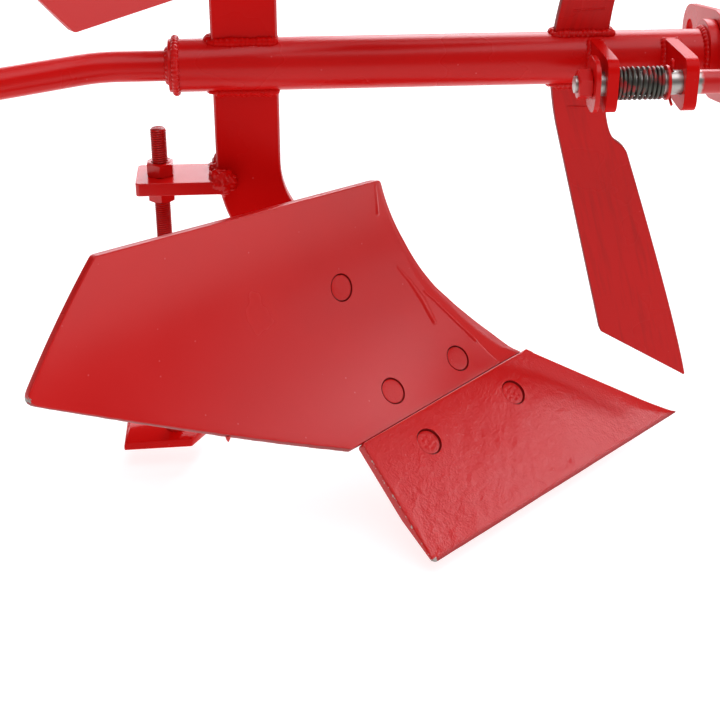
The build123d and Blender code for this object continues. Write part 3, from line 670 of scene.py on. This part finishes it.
def bowed(start, towards, end, steps=12):
    """Points of a curve between two places on a blank, drawn towards a third."""
    start, towards, end = Vector(start), Vector(towards), Vector(end)
    parts = [n / steps for n in range(steps + 1)]
    return [start * (1 - t) ** 2 + towards * (2 * t * (1 - t)) + end * t ** 2 for t in parts]


def plate_outline(sides, radii, spacing):
    """One loop round a plate, its sides in order and the corner before each side rounded."""
    count, fine_step = len(sides), 0.25
    trims = []
    for n in range(count):
        before, after = sides[n - 1], sides[n]
        turn = (before[-1] - before[-2]).angle(after[1] - after[0])
        trims.append(radii[n] * tan(turn / 2))
    loop = []
    for n, stretch in enumerate(sides):
        fine = spread(stretch, fine_step)
        step = (fine[1] - fine[0]).length
        start, stop = round(trims[n] / step), len(fine) - 1 - round(trims[(n + 1) % count] / step)
        loop += spread(fine[start:stop + 1], spacing)
        following = spread(sides[(n + 1) % count], fine_step)
        enter = following[round(trims[(n + 1) % count] / (following[1] - following[0]).length)]
        loop += bowed(fine[stop], stretch[-1], enter, 6)[1:-1]
    return loop


def within(points, loop):
    """Which points lie inside a loop."""
    ring = np.array([tuple(p) for p in loop])
    ahead = np.roll(ring, -1, axis=0)
    found = np.zeros(len(points), bool)
    for (x0, y0), (x1, y1) in zip(ring, ahead):
        crosses = (y0 > points[:, 1]) != (y1 > points[:, 1])
        if y1 != y0:
            found ^= crosses & (points[:, 0] < (x1 - x0) * (points[:, 1] - y0) / (y1 - y0) + x0)
    return found


def filled(loop, holes, spacing, close=None, close_spacing=0.8):
    """Triangles between a loop and the round holes in it, on even points that lie closer where close says."""
    rings = [loop] + [ring for _, _, ring in holes]
    border = [p for ring in rings for p in ring]
    edges, first = [], 0
    for ring in rings:
        edges += [(first + n, first + (n + 1) % len(ring)) for n in range(len(ring))]
        first += len(ring)
    low = np.min([tuple(p) for p in loop], axis=0)
    high = np.max([tuple(p) for p in loop], axis=0)
    edge_points = np.array([tuple(p) for p in border])
    inner = []
    for step, wanted in ((spacing, False), (close_spacing, True))[:2 if close else 1]:
        rows = np.arange(low[1], high[1], step * 0.866)
        columns = np.arange(low[0], high[0], step)
        grid = np.array([(x + (n % 2) * step / 2, y) for n, y in enumerate(rows) for x in columns])
        grid = grid[within(grid, loop)]
        if close:
            grid = grid[close(grid) == wanted]
        for centre, radius, _ in holes:
            grid = grid[np.hypot(grid[:, 0] - centre.x, grid[:, 1] - centre.y) > radius + step * 0.6]
        clear = [np.min(np.hypot(edge_points[:, 0] - x, edge_points[:, 1] - y)) > step * 0.6 for x, y in grid]
        inner += [Vector(p) for p in grid[np.array(clear, bool)]]
    points, _, faces, origin, _, _ = geometry.delaunay_2d_cdt(border + inner, edges, [], 1, 1e-5, True)
    back = {}
    for new, olds in enumerate(origin):
        for old in olds:
            back[old] = new
    middles = np.array([tuple(sum((points[n] for n in face), Vector((0, 0))) / 3) for face in faces])
    solid = within(middles, loop)
    for _, _, ring in holes:
        solid &= ~within(middles, ring)
    kept = [tuple(face) for face, inside in zip(faces, solid) if inside]
    return points, kept, [back[n] for n in range(len(border))]


def inward_ways(loop):
    """Square to a loop at each of its points, to its inside."""
    count = len(loop)
    middle = sum(loop, Vector((0, 0))) / count
    ways = []
    for n in range(count):
        way = (loop[(n + 1) % count] - loop[n - 1]).normalized()
        ways.append(Vector((-way.y, way.x)))
    outwards = sum((middle - p).dot(w) for p, w in zip(loop, ways)) < 0
    return [-w if outwards else w for w in ways]


def rim_widths(loop, rim):
    """How wide a rounded rim can be at each point of a loop: narrower round its sharp corners."""
    count = len(loop)
    widths = []
    for n in range(count):
        a, b, c = loop[n - 1], loop[n], loop[(n + 1) % count]
        bend = abs((b - a).cross(c - b))
        radius = (b - a).length * (c - b).length * (c - a).length / max(2 * bend, 1e-9)
        widths.append(min(rim, 0.6 * radius))
    return [min(widths[(n + step) % count] for step in range(-3, 4)) for n in range(count)]


hole_r, shank_r, hole_steps, back_rim = 10.75, 5.5, 40, 0.6


def hole_ring(centre, radius):
    """Points round a bolt hole."""
    turns = [2 * pi * n / hole_steps for n in range(hole_steps)]
    return [centre + Vector((cos(t), sin(t))) * radius for t in turns]


def plate_form(loop, back_at, holes, sunk, thickness, relief, rim, spacing, close=None):
    """A plate with rounded rims and countersunk holes: faces, and places on its blank with their depth and
    the painted shade on its rims and hole walls."""
    count, inward, wide = len(loop), inward_ways(loop), rim_widths(loop, rim)
    far = [back_at(p) for p in loop]
    drops = [relief(p) for p in loop]

    def outline(depths, inset):
        return [p.lerp(q, min(1.0, d / thickness(p))) + w * inset * r
                for p, q, d, w, r in zip(loop, far, depths, inward, wide)]

    rings = []
    # Painted shade grows round the rounded rim towards the plate's side and back.
    for turn, thin in ((0, 0.0), (30, 0.2), (60, 0.7), (90, 1.0)):
        depths = [d + rim * (1 - cos(radians(turn))) for d in drops]
        rings.append((outline(depths, 1 - sin(radians(turn))), depths, thin))
    depths = [thickness(q) - back_rim for q in far]
    rings.append((outline(depths, 0.0), depths, 1.0))
    back_loop = [q + w * min(back_rim, r) for q, w, r in zip(far, inward, wide)]

    front_holes = [(centre, hole_r, hole_ring(centre, hole_r)) for centre in holes]
    back_holes = [(centre, shank_r, hole_ring(centre, shank_r)) for centre in holes]
    front, faces, front_border = filled(rings[0][0], front_holes, spacing, close)
    back, back_faces, back_border = filled(back_loop, back_holes, 9.0)
    places = [(p, relief(p), 0.0) for p in front]
    base = len(places)
    places += [(p, thickness(p), 0.0) for p in back]
    faces += [tuple(base + n for n in face) for face in back_faces]

    def close_sides(first, size, between):
        numbers = [front_border[first:first + size]]
        for ring, depths, thin in between:
            numbers.append(list(range(len(places), len(places) + size)))
            places.extend((p, depth, thin) for p, depth in zip(ring, depths))
        numbers.append([base + n for n in back_border[first:first + size]])
        faces.extend(joined(numbers))

    close_sides(0, count, rings[1:])
    for number, centre in enumerate(holes):
        between = []
        # Painted shade on the walls of each countersunk hole.
        for radius, depth in ((10.72, 0.3), (10.65, 0.9), (10.5, 1.5 + sunk), (shank_r, 5.2 + sunk)):
            ring = hole_ring(centre, radius)
            between.append((ring, [relief(p) * (depth < 1) + depth for p in ring], 1.0))
        close_sides(count + hole_steps * number, hole_steps, between)
    return places, faces


def dressed(distance, width, drop):
    """Depth of a dressed edge: a bevel that steepens towards the edge."""
    if distance >= width:
        return 0.0
    part = 1 - max(0.0, distance) / width
    return drop * (0.5 * part + 0.5 * part * part)


def eased(value, table):
    """Read off a table of pairs, straight between them."""
    return np.interp(value, *zip(*table))


# Widths of the shin's dressed strip and of the share's, each by the height up its plate, and the paint's
# runs by places along and up the mouldboard, with half their width and how far they stand up.
shin_inner = ((-5, 38), (8, 35), (30, 25), (55, 18.5), (72, 16), (83, 17), (99, 14), (127, 6.5), (150, 5),
              (180, 4))
shin_outer = ((-5, 5), (6, 7.5), (17, 12), (33, 12), (49, 10), (66, 7.5), (96, 6), (130, 3.5), (180, 2))
strip_width = ((0, 8), (10, 16), (20, 22), (45, 29), (70, 35), (110, 41))
paint_runs = (
    ((206.5, 176, 1.1, 0.50), (207, 162, 1.4, 0.65), (208, 154.5, 1.6, 0.90)),
    ((199.5, 109.5, 0.9, 0.30), (191, 94, 1.7, 0.55), (185, 78, 3.0, 0.70), (183.5, 66, 2.7, 0.80),
     (182.5, 58.5, 2.3, 1.00)),
    ((181, 84, 1.0, 0.40), (173, 73, 1.2, 0.50), (163.5, 55.5, 1.3, 0.55), (156, 41.5, 1.4, 0.60),
     (151, 31, 1.8, 0.80)))


def run_height(p):
    """How far the paint stands up where it ran, flat-topped with a steep edge."""
    height = 0.0
    for run in paint_runs:
        for (a0, s0, w0, h0), (a1, s1, w1, h1) in zip(run, run[1:]):
            start, way = Vector((a0, s0)), Vector((a1 - a0, s1 - s0))
            part = min(1.0, max(0.0, (p - start).dot(way) / way.length_squared))
            off = (p - start - way * part).length / (w0 + (w1 - w0) * part)
            if off < 1:
                height = max(height, (h0 + (h1 - h0) * part) * (1 - off ** 3))
    return height


def board_relief(p):
    """The mouldboard's face: its shin stepped down along a line, nearly level from there to the edge, and the
    paint's runs."""
    inner, outer = eased(p.y, shin_inner), eased(p.y, shin_outer)
    square, step_slope, strip_slope, deepest = 0.72, 0.27, 0.04, 4.8
    past_line = square * (inner - max(0.0, p.x - land_edge(board_flat(p.y, 0))))
    if past_line <= 0:
        return -run_height(p)
    step = square * (inner - outer)
    soft = min(2.5, step / 2)
    stepped = past_line
    if past_line > step - soft:
        stepped = step - max(0.0, step + soft - past_line) ** 2 / (4 * soft)
    whole = step_slope * step + strip_slope * square * inner
    return min(1.0, deepest / whole) * (step_slope * stepped + strip_slope * past_line) - run_height(p)


shin_line = [(s, land_edge(board_flat(s, 0))) for s in range(-5, 206, 5)]


def board_close(grid):
    """Where the mouldboard's face needs close points: on its shin and round the paint's runs."""
    inside = grid[:, 0] - eased(grid[:, 1], shin_line)
    wanted = inside < eased(grid[:, 1], shin_inner) + 2
    for run in paint_runs:
        for (a0, s0, _, _), (a1, s1, _, _) in zip(run, run[1:]):
            for part in np.linspace(0, 1, 12):
                off = grid - (a0 + (a1 - a0) * part, s0 + (s1 - s0) * part)
                wanted |= np.hypot(off[:, 0], off[:, 1]) < 5
    return wanted


pits = [(Vector(place), size, depth) for place, size, depth in (
    ((139.5, 13.5), 2.4, 0.35), ((188, 36), 1.6, 0.3), ((285, 52), 2.0, 0.3), ((60, 10), 1.4, 0.25),
    ((221, 96.5), 1.6, 0.2))]


def share_relief(p):
    """The share's face: forged and uneven, roughest low down at the heel, with a dressed land edge."""
    distance = p.x - land_edge(share_flat(p.y, 0))
    width = eased(p.y, strip_width)
    strip = dressed(distance, width, min(2.8, 0.12 * width))
    rough = 0.5 + 0.5 * min(1.0, max(0.0, (95 - p.y) / 80)) * min(1.0, max(0.2, p.x / 200))
    rough *= min(1.0, max(0.25, (distance - width * 0.5) / 20)) * min(1.0, 0.2 + max(0.0, p.y) / 9)
    swell = noise.noise(Vector((p.x / 34, p.y / 34, 2.5)))
    coarse = noise.noise(Vector((p.x / 9, p.y / 9, 0.5)))
    fine = noise.noise(Vector((p.x / 3.6, p.y / 3.6, 7.5)))
    pit = sum(depth * max(0.0, 1 - (p - centre).length / size) ** 0.7 for centre, size, depth in pits)
    return strip + rough * (0.4 * swell + 0.22 * coarse + 0.18 * fine) + pit


def share_thickness(p):
    """Full at the joint and thinned behind the cutting edge."""
    edge_t, thinned = 2.5, 40
    return min(share_t, edge_t + (share_t - edge_t) * max(0.0, p.y) / thinned)


def share_back(p):
    """The back's outline: short of the land side's slant, and of the ground at the cutting edge."""
    back_start = 3.56
    s = max(p.y, back_start)
    return Vector((max(p.x, land_edge(share_flat(s, share_thickness(Vector((0, s)))))), s))


def board_back(p):
    """The back's outline, short of the land side's slant."""
    return Vector((max(p.x, land_edge(board_flat(p.y, board_t))), p.y))


def line(*places):
    """A side of a plate by its places on the blank."""
    return [Vector(place) for place in places]


joint_land_s = joint_heel_s + joint_lean * joint_heel_a
joint_land_s /= 1 + joint_lean * cos(share_slope) / tan(land_turn)
joint_land_a = land_edge(share_flat(joint_land_s, 0))
share_point, share_heel = (0, 0), (share_heel_a, 0)
joint_land, joint_heel = (joint_land_a, joint_land_s), (joint_heel_a, joint_heel_s)
share_sides = [line(share_point, joint_land), line(joint_land, joint_heel), line(joint_heel, share_heel),
               line(share_heel, share_point)]
share_loop = plate_outline(share_sides, (0.8, 0.8, 3.0, 3.0), 2.4)
share_holes = [Vector((147.6, 82.0)), Vector((249.0, 79.9))]

front_rise, tail_top, tail_low, heel_a = 179.3, (464.7, 199.3), (538.5, 123.4), 312.9
board_foot = joint_land_s + 0.45 - joint_rise
shin = [Vector((land_edge(board_flat(s, 0)), s)) for s in np.linspace(board_foot, front_rise, 40)]
tail_side = line(tail_top, tail_low)
under = [Vector(tail_low).lerp(Vector((heel_a, 0.0)), n / 90) for n in range(91)]
ragged = [p + Vector((0, 0.35 * noise.noise(Vector((p.x / 6, 3.1, 0))))) * (0 < n < 90)
          for n, p in enumerate(under)]
foot = line((heel_a, 0.0), (joint_heel_a, 0.0), shin[0])
board_sides = [shin, line(shin[-1], tail_top), tail_side, ragged, foot]
board_loop = plate_outline(board_sides, (0.8, 5.0, 5.0, 8.0, 1.0), 2.6)
board_holes = [Vector((177.2, 24.4)), Vector((251.3, 24.4)), Vector((259.8, 112.0))]


def share_worn(p, depth):
    """Bare at the point and heel, scuffed along the heel's end and the cutting edge."""
    near = max(1 - p.length / 7, 1 - (p - Vector((share_heel_a, 0))).length / 9)
    end = 0.42 if joint_heel_a + (joint_heel_s - p.y) * heel_lean - p.x < 0.5 and depth < 3 else 0.0
    edge = 0.34 if p.y < 0.5 else 0.0
    return max(0.0, near, end, edge)


def share_painted_shade(p, thin):
    """Painted shade on the share: on its arrises and along the cutting edge, but little on the heel's end."""
    if p.x > joint_heel_a + (joint_heel_s - p.y) * heel_lean - 0.9:
        return 0.15 * thin
    return max(thin, 1.15 - p.y / 4)


def board_painted_shade(p, thin):
    """The same painted shade for the mouldboard, kept light on its tail and top edge."""
    tail = tail_top[0] + (tail_top[1] - p.y) * (tail_low[0] - tail_top[0]) / (tail_top[1] - tail_low[1])
    top = front_rise + (p.x - shin[-1].x) * (tail_top[1] - front_rise) / (tail_top[0] - shin[-1].x)
    return thin * (0.1 if p.x > tail - 2.5 or p.y > top - 1.5 else 1.0)


def board_worn(p, depth):
    """Bare at the low tail corner, scuffed along the lower edge."""
    near = 1 - (p - Vector((tail_low[0] - 2.5, tail_low[1] + 1.5))).length / 6
    low = 0.3 if p.y - (p.x - heel_a) * tail_low[1] / (tail_low[0] - heel_a) < 0.6 else 0.0
    return max(0.0, near, low)


share_sunk, board_sunk = 1.3, 0.5
share_form = plate_form(share_loop, share_back, share_holes, share_sunk, share_thickness, share_relief, 1.2,
                        1.7)
board_form = plate_form(board_loop, board_back, board_holes, board_sunk, lambda p: board_t, board_relief, 0.9,
                        3.6, board_close)


for half, side in halves:
    for kind, form, flat, worn, painted_shade_at, finish in (
            ("share", share_form, share_flat, share_worn, share_painted_shade, share_enamel),
            ("mouldboard", board_form, board_flat, board_worn, board_painted_shade, board_enamel)):
        points = [in_space(p.x, flat(p.y, depth), side) for p, depth, _ in form[0]]
        mesh = mesh_of(f"{half}_{kind}", points, form[1], 55)
        mark(mesh, "worn", [worn(p, depth) for p, depth, _ in form[0]])
        mark(mesh, "thin", [painted_shade_at(p, thin) for p, _, thin in form[0]])
        stands_for(even_face(new_piece(f"{half}_{kind}_forged", mesh, finish)), f"{half}_{kind}")

drip_a, drip_s = 400.5, 48.6
drip_outline = ((0.0, 1.9), (1.5, 1.9), (3.0, 1.5), (4.6, 0.8), (5.4, 0.15))
drip_from = in_space(drip_a, board_flat(drip_s, board_t / 2))
drip = turned_form([(along * mm, radius * mm) for along, radius in drip_outline], drip_from, (0, 0, -1), 20)
drip = new_piece("mouldboard_paint_drip", mesh_of("mouldboard_paint_drip", *drip), board_enamel)
painted_on(drip, "turnover")


# Plough bolts: five hold each share and mouldboard, with round heads let in flush with the face and
# a hexagon nut behind. They are forged and screwed steel, painted over with the plates.
set_on_face, given, add, put, maths = new_tree(
    "set_on_face", ("Places", "Geometry"), ("Form", "Object"), ("Finish", "Material"))
form = add("GeometryNodeObjectInfo", Object=given["Form"]).outputs["Geometry"]
facing = add("GeometryNodeInputNamedAttribute", {"data_type": "FLOAT_VECTOR"}, Name="facing")
turn = add("FunctionNodeAlignRotationToVector", {"axis": "Z"}, Vector=facing.outputs["Attribute"])
whole_set = add("GeometryNodeInstanceOnPoints", Points=given["Places"], Instance=form,
                Rotation=turn.outputs["Rotation"]).outputs["Instances"]
end_tree(add, put, whole_set, given["Finish"])


def set_of(name, form, places, finish, thin=None):
    """The same form at each place, standing along the way that it faces."""
    pattern = new_piece(f"{name}_pattern", mesh_of(name, *form))
    if thin:
        mark(pattern.data, "thin", thin)
    marks = bpy.data.meshes.new(name)
    marks.from_pydata([place for place, _ in places], [], [])
    ways = marks.attributes.new("facing", "FLOAT_VECTOR", "POINT")
    ways.data.foreach_set("vector", [part for _, way in places for part in way])
    piece = made_by(set_on_face, name, marks, {"Form": pattern, "Finish": finish})
    bpy.data.objects.remove(pattern)
    return piece


def face_way(slope, side):
    """Square out of the working face, on the lower or the upper body."""
    normal = profile_normal(slope)
    way = back_level * normal.x + Vector((0, 0, normal.y))
    return Vector((way.x, way.y, -side * way.z))


bolt_end, nut_height, bolt_around = 25.0, 8.0, 48
bolt_outline = [(-bolt_end, 4.0), (1 - bolt_end, 5.0), (1.6 - bolt_end, 4.5), (2.2 - bolt_end, 5.0),
                (-6.2, 5.0), (-1.4, 9.8), (-0.6, 9.8), (-0.25, 9.7), (-0.06, 9.4), (0.0, 9.0), (0.05, 7.6)]
bolt_outline += [(0.06, 6.8 - 0.6 * n) for n in range(7)] + [(0.05, 2.4), (0.03, 1.6), (0.0, 0.9), (0.0, 0.2)]
bolt_form = turned_form([(along * mm, radius * mm) for along, radius in bolt_outline], around=bolt_around)
# Painted shade on the sides of each bolt head, down in its countersink.
bolt_painted_shade = [1.0 if -10 < along < -0.2 else 0.0 for along, _ in bolt_outline for _ in range(bolt_around)]
mark_circle, mark_turns = 5.2 * mm, [radians(60 * n) for n in range(6)]
forge_marks = [Vector((0, 0))] + [Vector((cos(turn), sin(turn))) * mark_circle for turn in mark_turns]


def marked(point):
    """A bolt head's point, let down where the forging die left a round mark."""
    if point.z < -0.1 * mm:
        return point
    nearest = min((point.xy - mark).length for mark in forge_marks)
    return point - Vector((0, 0, 0.4 * mm * max(0.0, 1 - nearest / (1.3 * mm))))


marked_form = ([marked(point) for point in bolt_form[0]], bolt_form[1])
nut_pattern = nut_form(17 * mm, nut_height * mm, 5.1 * mm)
for half, side in halves:
    nuts = []
    for kind, form, flat, slope_at, places, let_in, plate_t in (
            ("share", marked_form, share_flat, lambda s: share_slope, share_holes, share_sunk, share_t),
            ("mouldboard", bolt_form, board_flat, lambda s: board_slope + s / board_r, board_holes,
             board_sunk, board_t)):
        heads = []
        for place in places:
            way = face_way(slope_at(place.y), side)
            heads.append((in_space(place.x, flat(place.y, let_in), side), way))
            nuts.append((in_space(place.x, flat(place.y, plate_t + frog_t), side), -way))
        bolts = set_of(f"{half}_{kind}_bolts", form, heads, share_enamel, bolt_painted_shade)
        stands_for(bolts, f"{half}_plough_bolts")
    stands_for(set_of(f"{half}_bolt_nuts", nut_pattern, nuts, plate_enamel), f"{half}_plough_nuts")


# Coulters: knives cut from plate, one under the tube ahead of the lower share and one above it, welded on
# edge with a bead all round and sprayed with the rest.
coulter_lean = radians(15.5)
coulter_t, coulter_rim = 8.0, 1.0
root_rear, root_front = (-274.5, 18.5), (-234.5, 18.5)
knife_heel, knife_point = (-222.5, 225.5), (-148.5, 269)
shoulder, shoulder_middle, neck = (-212.5, 75.5), (-222, 65), (-230.5, 48)
knife_rear = bowed(root_rear, (-272, 40), (-266.5, 59.5)) + line(knife_heel)
knife_front = bowed(knife_point, (-161, 218.5), shoulder)
for start, towards, end in ((shoulder, (-214.5, 69.5), shoulder_middle),
                            (shoulder_middle, (-227.5, 61), neck), (neck, (-233, 38.5), root_front)):
    knife_front += bowed(start, towards, end)[1:]
knife_sides = [knife_rear, line(knife_heel, knife_point), knife_front, line(root_front, root_rear)]
knife_loop = plate_outline(knife_sides, (0.6, 5.0, 1.4, 0.6), 1.8)


def knife_form(loop, thickness, rim):
    """A flat plate by its outline, with its arrises rounded: faces, and places on its blank with their depth
    and the painted shade on its arrises."""
    half, inward, wide = thickness / 2, inward_ways(loop), rim_widths(loop, rim)
    # Painted shade grows over the rounded arrises to the plate's sides.
    steps = ((-half, 1.0, 0.0), (-half + 0.3 * rim, 0.3, 0.4), (-half + rim, 0.0, 1.0),
             (half - rim, 0.0, 1.0), (half - 0.3 * rim, 0.3, 0.4), (half, 1.0, 0.0))
    places = [(p + w * inset * r, depth, thin)
              for depth, inset, thin in steps for p, w, r in zip(loop, inward, wide)]
    return places, skin(len(steps), len(loop))


knife_places, knife_faces = knife_form(knife_loop, coulter_t, coulter_rim)
root_weld_rear, root_weld_front, root_weld_half, root_weld_height = -0.2754, -0.2332, 5 * mm, 18.6 * mm
lap_rear, lap_face, lap_height = -0.262, -0.0041, 0.0360
for half, side in halves:
    coulter_enamel = red_enamel(f"{half}_coulter_enamel", 0.2, 0.16, 4.0 * mm,
                                streak_lean=side * coulter_lean, worn=True)
    points = [Vector((p.x, depth, side * p.y)) * mm for p, depth, _ in knife_places]
    mesh = mesh_of(f"{half}_coulter", points, knife_faces)
    mark(mesh, "thin", [thin for _, _, thin in knife_places])
    stands_for(even_face(new_piece(f"{half}_coulter_knife", mesh, coulter_enamel)), f"{half}_coulter")
    seam = seam_round(root_weld_rear, root_weld_front, root_weld_half, side * root_weld_height)
    weld(f"{half}_coulter_weld", "turnover", [seam], 3.2 * mm, 0.35, 11.0 + side, coulter_enamel)
    lap = [Vector((lap_rear + 0.004 * n, lap_face, side * (lap_height + 0.0002 * n))) for n in range(7)]
    weld(f"{half}_coulter_paint_lap", "turnover", [lap], 0.5 * mm, 0.5, 21.0 + side, coulter_enamel)


# Heels: a sole plate on a screwed rod steadies each body in the furrow. The rod passes a flat bracket
# welded round the leg's rear edge, and a nut above and one below set its height. All are painted red.
heel_enamel = red_enamel("heel_enamel", 0.5, 0.10, 4.0 * mm, 0.2)
sole_enamel = red_enamel("sole_enamel", 0.08, 0.08, 5.0 * mm, 0.12)
rod_enamel = red_enamel("rod_enamel", 0.25, 0.06, 5.0 * mm, 0.2, worn=True)
lump_enamel = red_enamel("lump_enamel", 0.22, 0.08, 3.0 * mm, 0.16)
sole_corners = ((-0.608, -0.0226), (-0.5538, -0.0203), (-0.542, -0.0005), (-0.542, 0.023), (-0.608, 0.023))
sole_under = 0.3102


def cut_plate(name, corners, under, upper, finish):
    """A flat plate by its corners, its edges rounded and its rear upper edge ground well back."""
    bm = bmesh.new()
    rings = [[bm.verts.new((x, y, z)) for x, y in corners] for z in (under, upper)]
    count = len(corners)
    for ring in rings:
        bm.faces.new(ring)
    for n in range(count):
        bm.faces.new((rings[0][n], rings[0][(n + 1) % count], rings[1][(n + 1) % count], rings[1][n]))
    bmesh.ops.recalc_face_normals(bm, faces=bm.faces)
    ground = bm.edges.get((rings[1][0], rings[1][-1]))
    bmesh.ops.bevel(bm, geom=[ground], offset=4.0 * mm, segments=3, profile=0.5, affect="EDGES")
    sharp = [edge for edge in bm.edges if edge.calc_face_angle() > radians(34)]
    bmesh.ops.bevel(bm, geom=sharp, offset=0.9 * mm, segments=2, profile=0.5, affect="EDGES")
    return new_piece(name, mesh_from(bm, bpy.data.meshes.new(name)), finish)


def weld_lump(name, middle, size, seed, finish):
    """A lump of weld metal, run together and uneven."""
    turns = np.linspace(0.06, pi - 0.06, 22)
    points, faces = turned_form([(-cos(turn), sin(turn)) for turn in turns])
    lumpy = []
    for point in points:
        way = point.normalized()
        coarse = noise.noise(way * 1.6 + Vector((seed, 0, 0)))
        fine = noise.noise(way * 3.7 + Vector((0, seed, 0)))
        lumpy.append(Vector(middle) + way * (1 + 0.30 * coarse + 0.18 * fine) * Vector(size))
    painted_on(new_piece(name, mesh_of(name, lumpy, faces, 60), finish), "turnover")


rod_x, rod_foot, rod_top, rod_r, rod_pitch = -0.566, 0.3027, 0.047, 6 * mm, 1.75 * mm
bracket_top, bracket_under, lump_size = 0.083, 0.093, (9 * mm, 7.5 * mm, 10 * mm)
bracket_run, bracket_rise = (-0.530, -0.526, -0.521, -0.516, -0.512), (0.082, 0.085, 0.088, 0.091, 0.094)
bracket_front, bracket_middle = -0.5135, -0.521
for half, side in halves:
    softened(f"{half}_heel_bracket", 1.3 * mm, heel_enamel)
    sole = cut_plate(f"{half}_heel_sole_cut", sole_corners, side * sole_under, side * rod_foot, sole_enamel)
    stands_for(sole, f"{half}_heel_sole")
    rod = threaded_rod(f"{half}_heel_rod_thread", (rod_x, 0, side * rod_foot), (0, 0, -side),
                       rod_foot - rod_top, rod_r, rod_pitch, 0.85 * mm, 1.2 * mm, rod_enamel)
    stands_for(rod, f"{half}_heel_rod")
    pair = [[], []]
    for seat, way in ((bracket_top, -side), (bracket_under, side)):
        nut_at(pair, (rod_x, 0, side * seat), (0, 0, way), m12_across, m12_height, 5.9 * mm)
    pair = new_piece(f"{half}_heel_nuts_chamfered", mesh_of(f"{half}_heel_nuts", *pair), heel_enamel)
    stands_for(pair, f"{half}_heel_nuts")
    foot_seam = ring_level(rod_x, side * rod_foot, 6.3 * mm)
    weld(f"{half}_sole_weld", f"{half}_heel", [foot_seam], 2.6 * mm, 0.35, 14.0 + side)
    seams = []
    for y in (-1, 1):
        seams.append([(x, y * 7.5 * mm, side * bracket_top) for x in bracket_run])
        seams.append([(bracket_front, y * 8 * mm, side * z) for z in bracket_rise])
        seams.append([(bracket_front - 0.5 * mm, y * across * mm, side * 0.0865)
                      for across in (7, 10, 13, 16)])
    weld(f"{half}_bracket_weld", "turnover", seams, 4.2 * mm, 0.55, 17.0 + side, lump_enamel)
    behind = [[(weld_rear, across * mm, side * (bracket_top + 1 * mm)) for across in (-9, -5, 0, 5, 9)]]
    weld(f"{half}_bracket_rear_weld", "turnover", behind, 2.4 * mm, 0.5, 18.0 + side, lump_enamel)
    for y, end in ((-1, "front"), (1, "rear")):
        lump_middle = (bracket_middle, y * 14.5 * mm, side * 85 * mm)
        weld_lump(f"{half}_bracket_{end}_lump", lump_middle, lump_size, 3.0 + y, lump_enamel)


# Floor, light and camera: a pale studio floor, a lit wall behind, lamps at the right that grow brighter
# to their middle, and large softboxes overhead and far right, seen from the photograph's place.
floor_level, floor_reach = -0.3265, 60.0
sheet = bpy.data.meshes.new("floor")
corners = [(x * floor_reach, y * floor_reach, floor_level) for x, y in ((-1, -1), (1, -1), (1, 1), (-1, 1))]
sheet.from_pydata(corners, [], [(0, 1, 2, 3)])
floor_paint, shader, add, put, *_ = new_finish("floor_paint")
put((0.45, 0.45, 0.45, 1), shader["Base Color"])
put(0.9, shader["Roughness"])
put(0.0, shader["Specular IOR Level"])
put((1, 1, 1, 1), shader["Emission Color"])
put(0.8, shader["Emission Strength"])
new_piece("floor", sheet, floor_paint)

world = bpy.data.worlds.new("studio")
bpy.context.scene.world = world
world.use_nodes = True
backdrop = world.node_tree.nodes["Background"].inputs
backdrop["Color"].default_value = (1, 1, 1, 1)
backdrop["Strength"].default_value = 0.22
lit_middle = Vector((-0.35, 0.0, -0.15))


def softbox(name, place, width, height, radiance):
    """A large oblong lamp aimed at the plough, with an even glow."""
    lamp = bpy.data.lights.new(name, "AREA")
    lamp.shape = "RECTANGLE"
    lamp.size = width
    lamp.size_y = height
    lamp.energy = radiance * pi * width * height
    lamp.color = (0.985, 0.97, 1.03)
    box = bpy.data.objects.new(name, lamp)
    box.location = place
    box.rotation_euler = (lit_middle - Vector(place)).to_track_quat("-Z", "Y").to_euler()
    box.visible_camera = False
    bpy.context.scene.collection.objects.link(box)


softbox("back_wall", (-0.75, 3.2, 0.85), 3.9, 0.8, 3.6)
softbox("right_panel", (1.65, -0.06, 0.60), 1.2, 1.2, 0.95)
softbox("right_glow", (1.65, 0.15, 0.86), 0.7, 0.7, 2.2)
softbox("right_core", (1.65, 0.36, 1.16), 0.55, 0.6, 3.8)
softbox("far_right", (0.10, 1.48, 1.09), 1.0, 1.0, 6.0)
softbox("overhead", (-0.2, -0.5, 2.2), 2.2, 2.2, 2.5)

eye = bpy.data.cameras.new("eye")
eye.lens = 75.75
eye.sensor_width = 36
camera = bpy.data.objects.new("eye", eye)
bpy.context.scene.collection.objects.link(camera)
yaw, pitch = radians(4), radians(28)
looking = Vector((sin(yaw) * cos(pitch), cos(yaw) * cos(pitch), -sin(pitch)))
camera.location = (-0.49147, -1.07643, 0.3271)
camera.rotation_euler = looking.to_track_quat("-Z", "Y").to_euler()
bpy.context.scene.camera = camera
bpy.context.scene.view_settings.view_transform = "Standard"
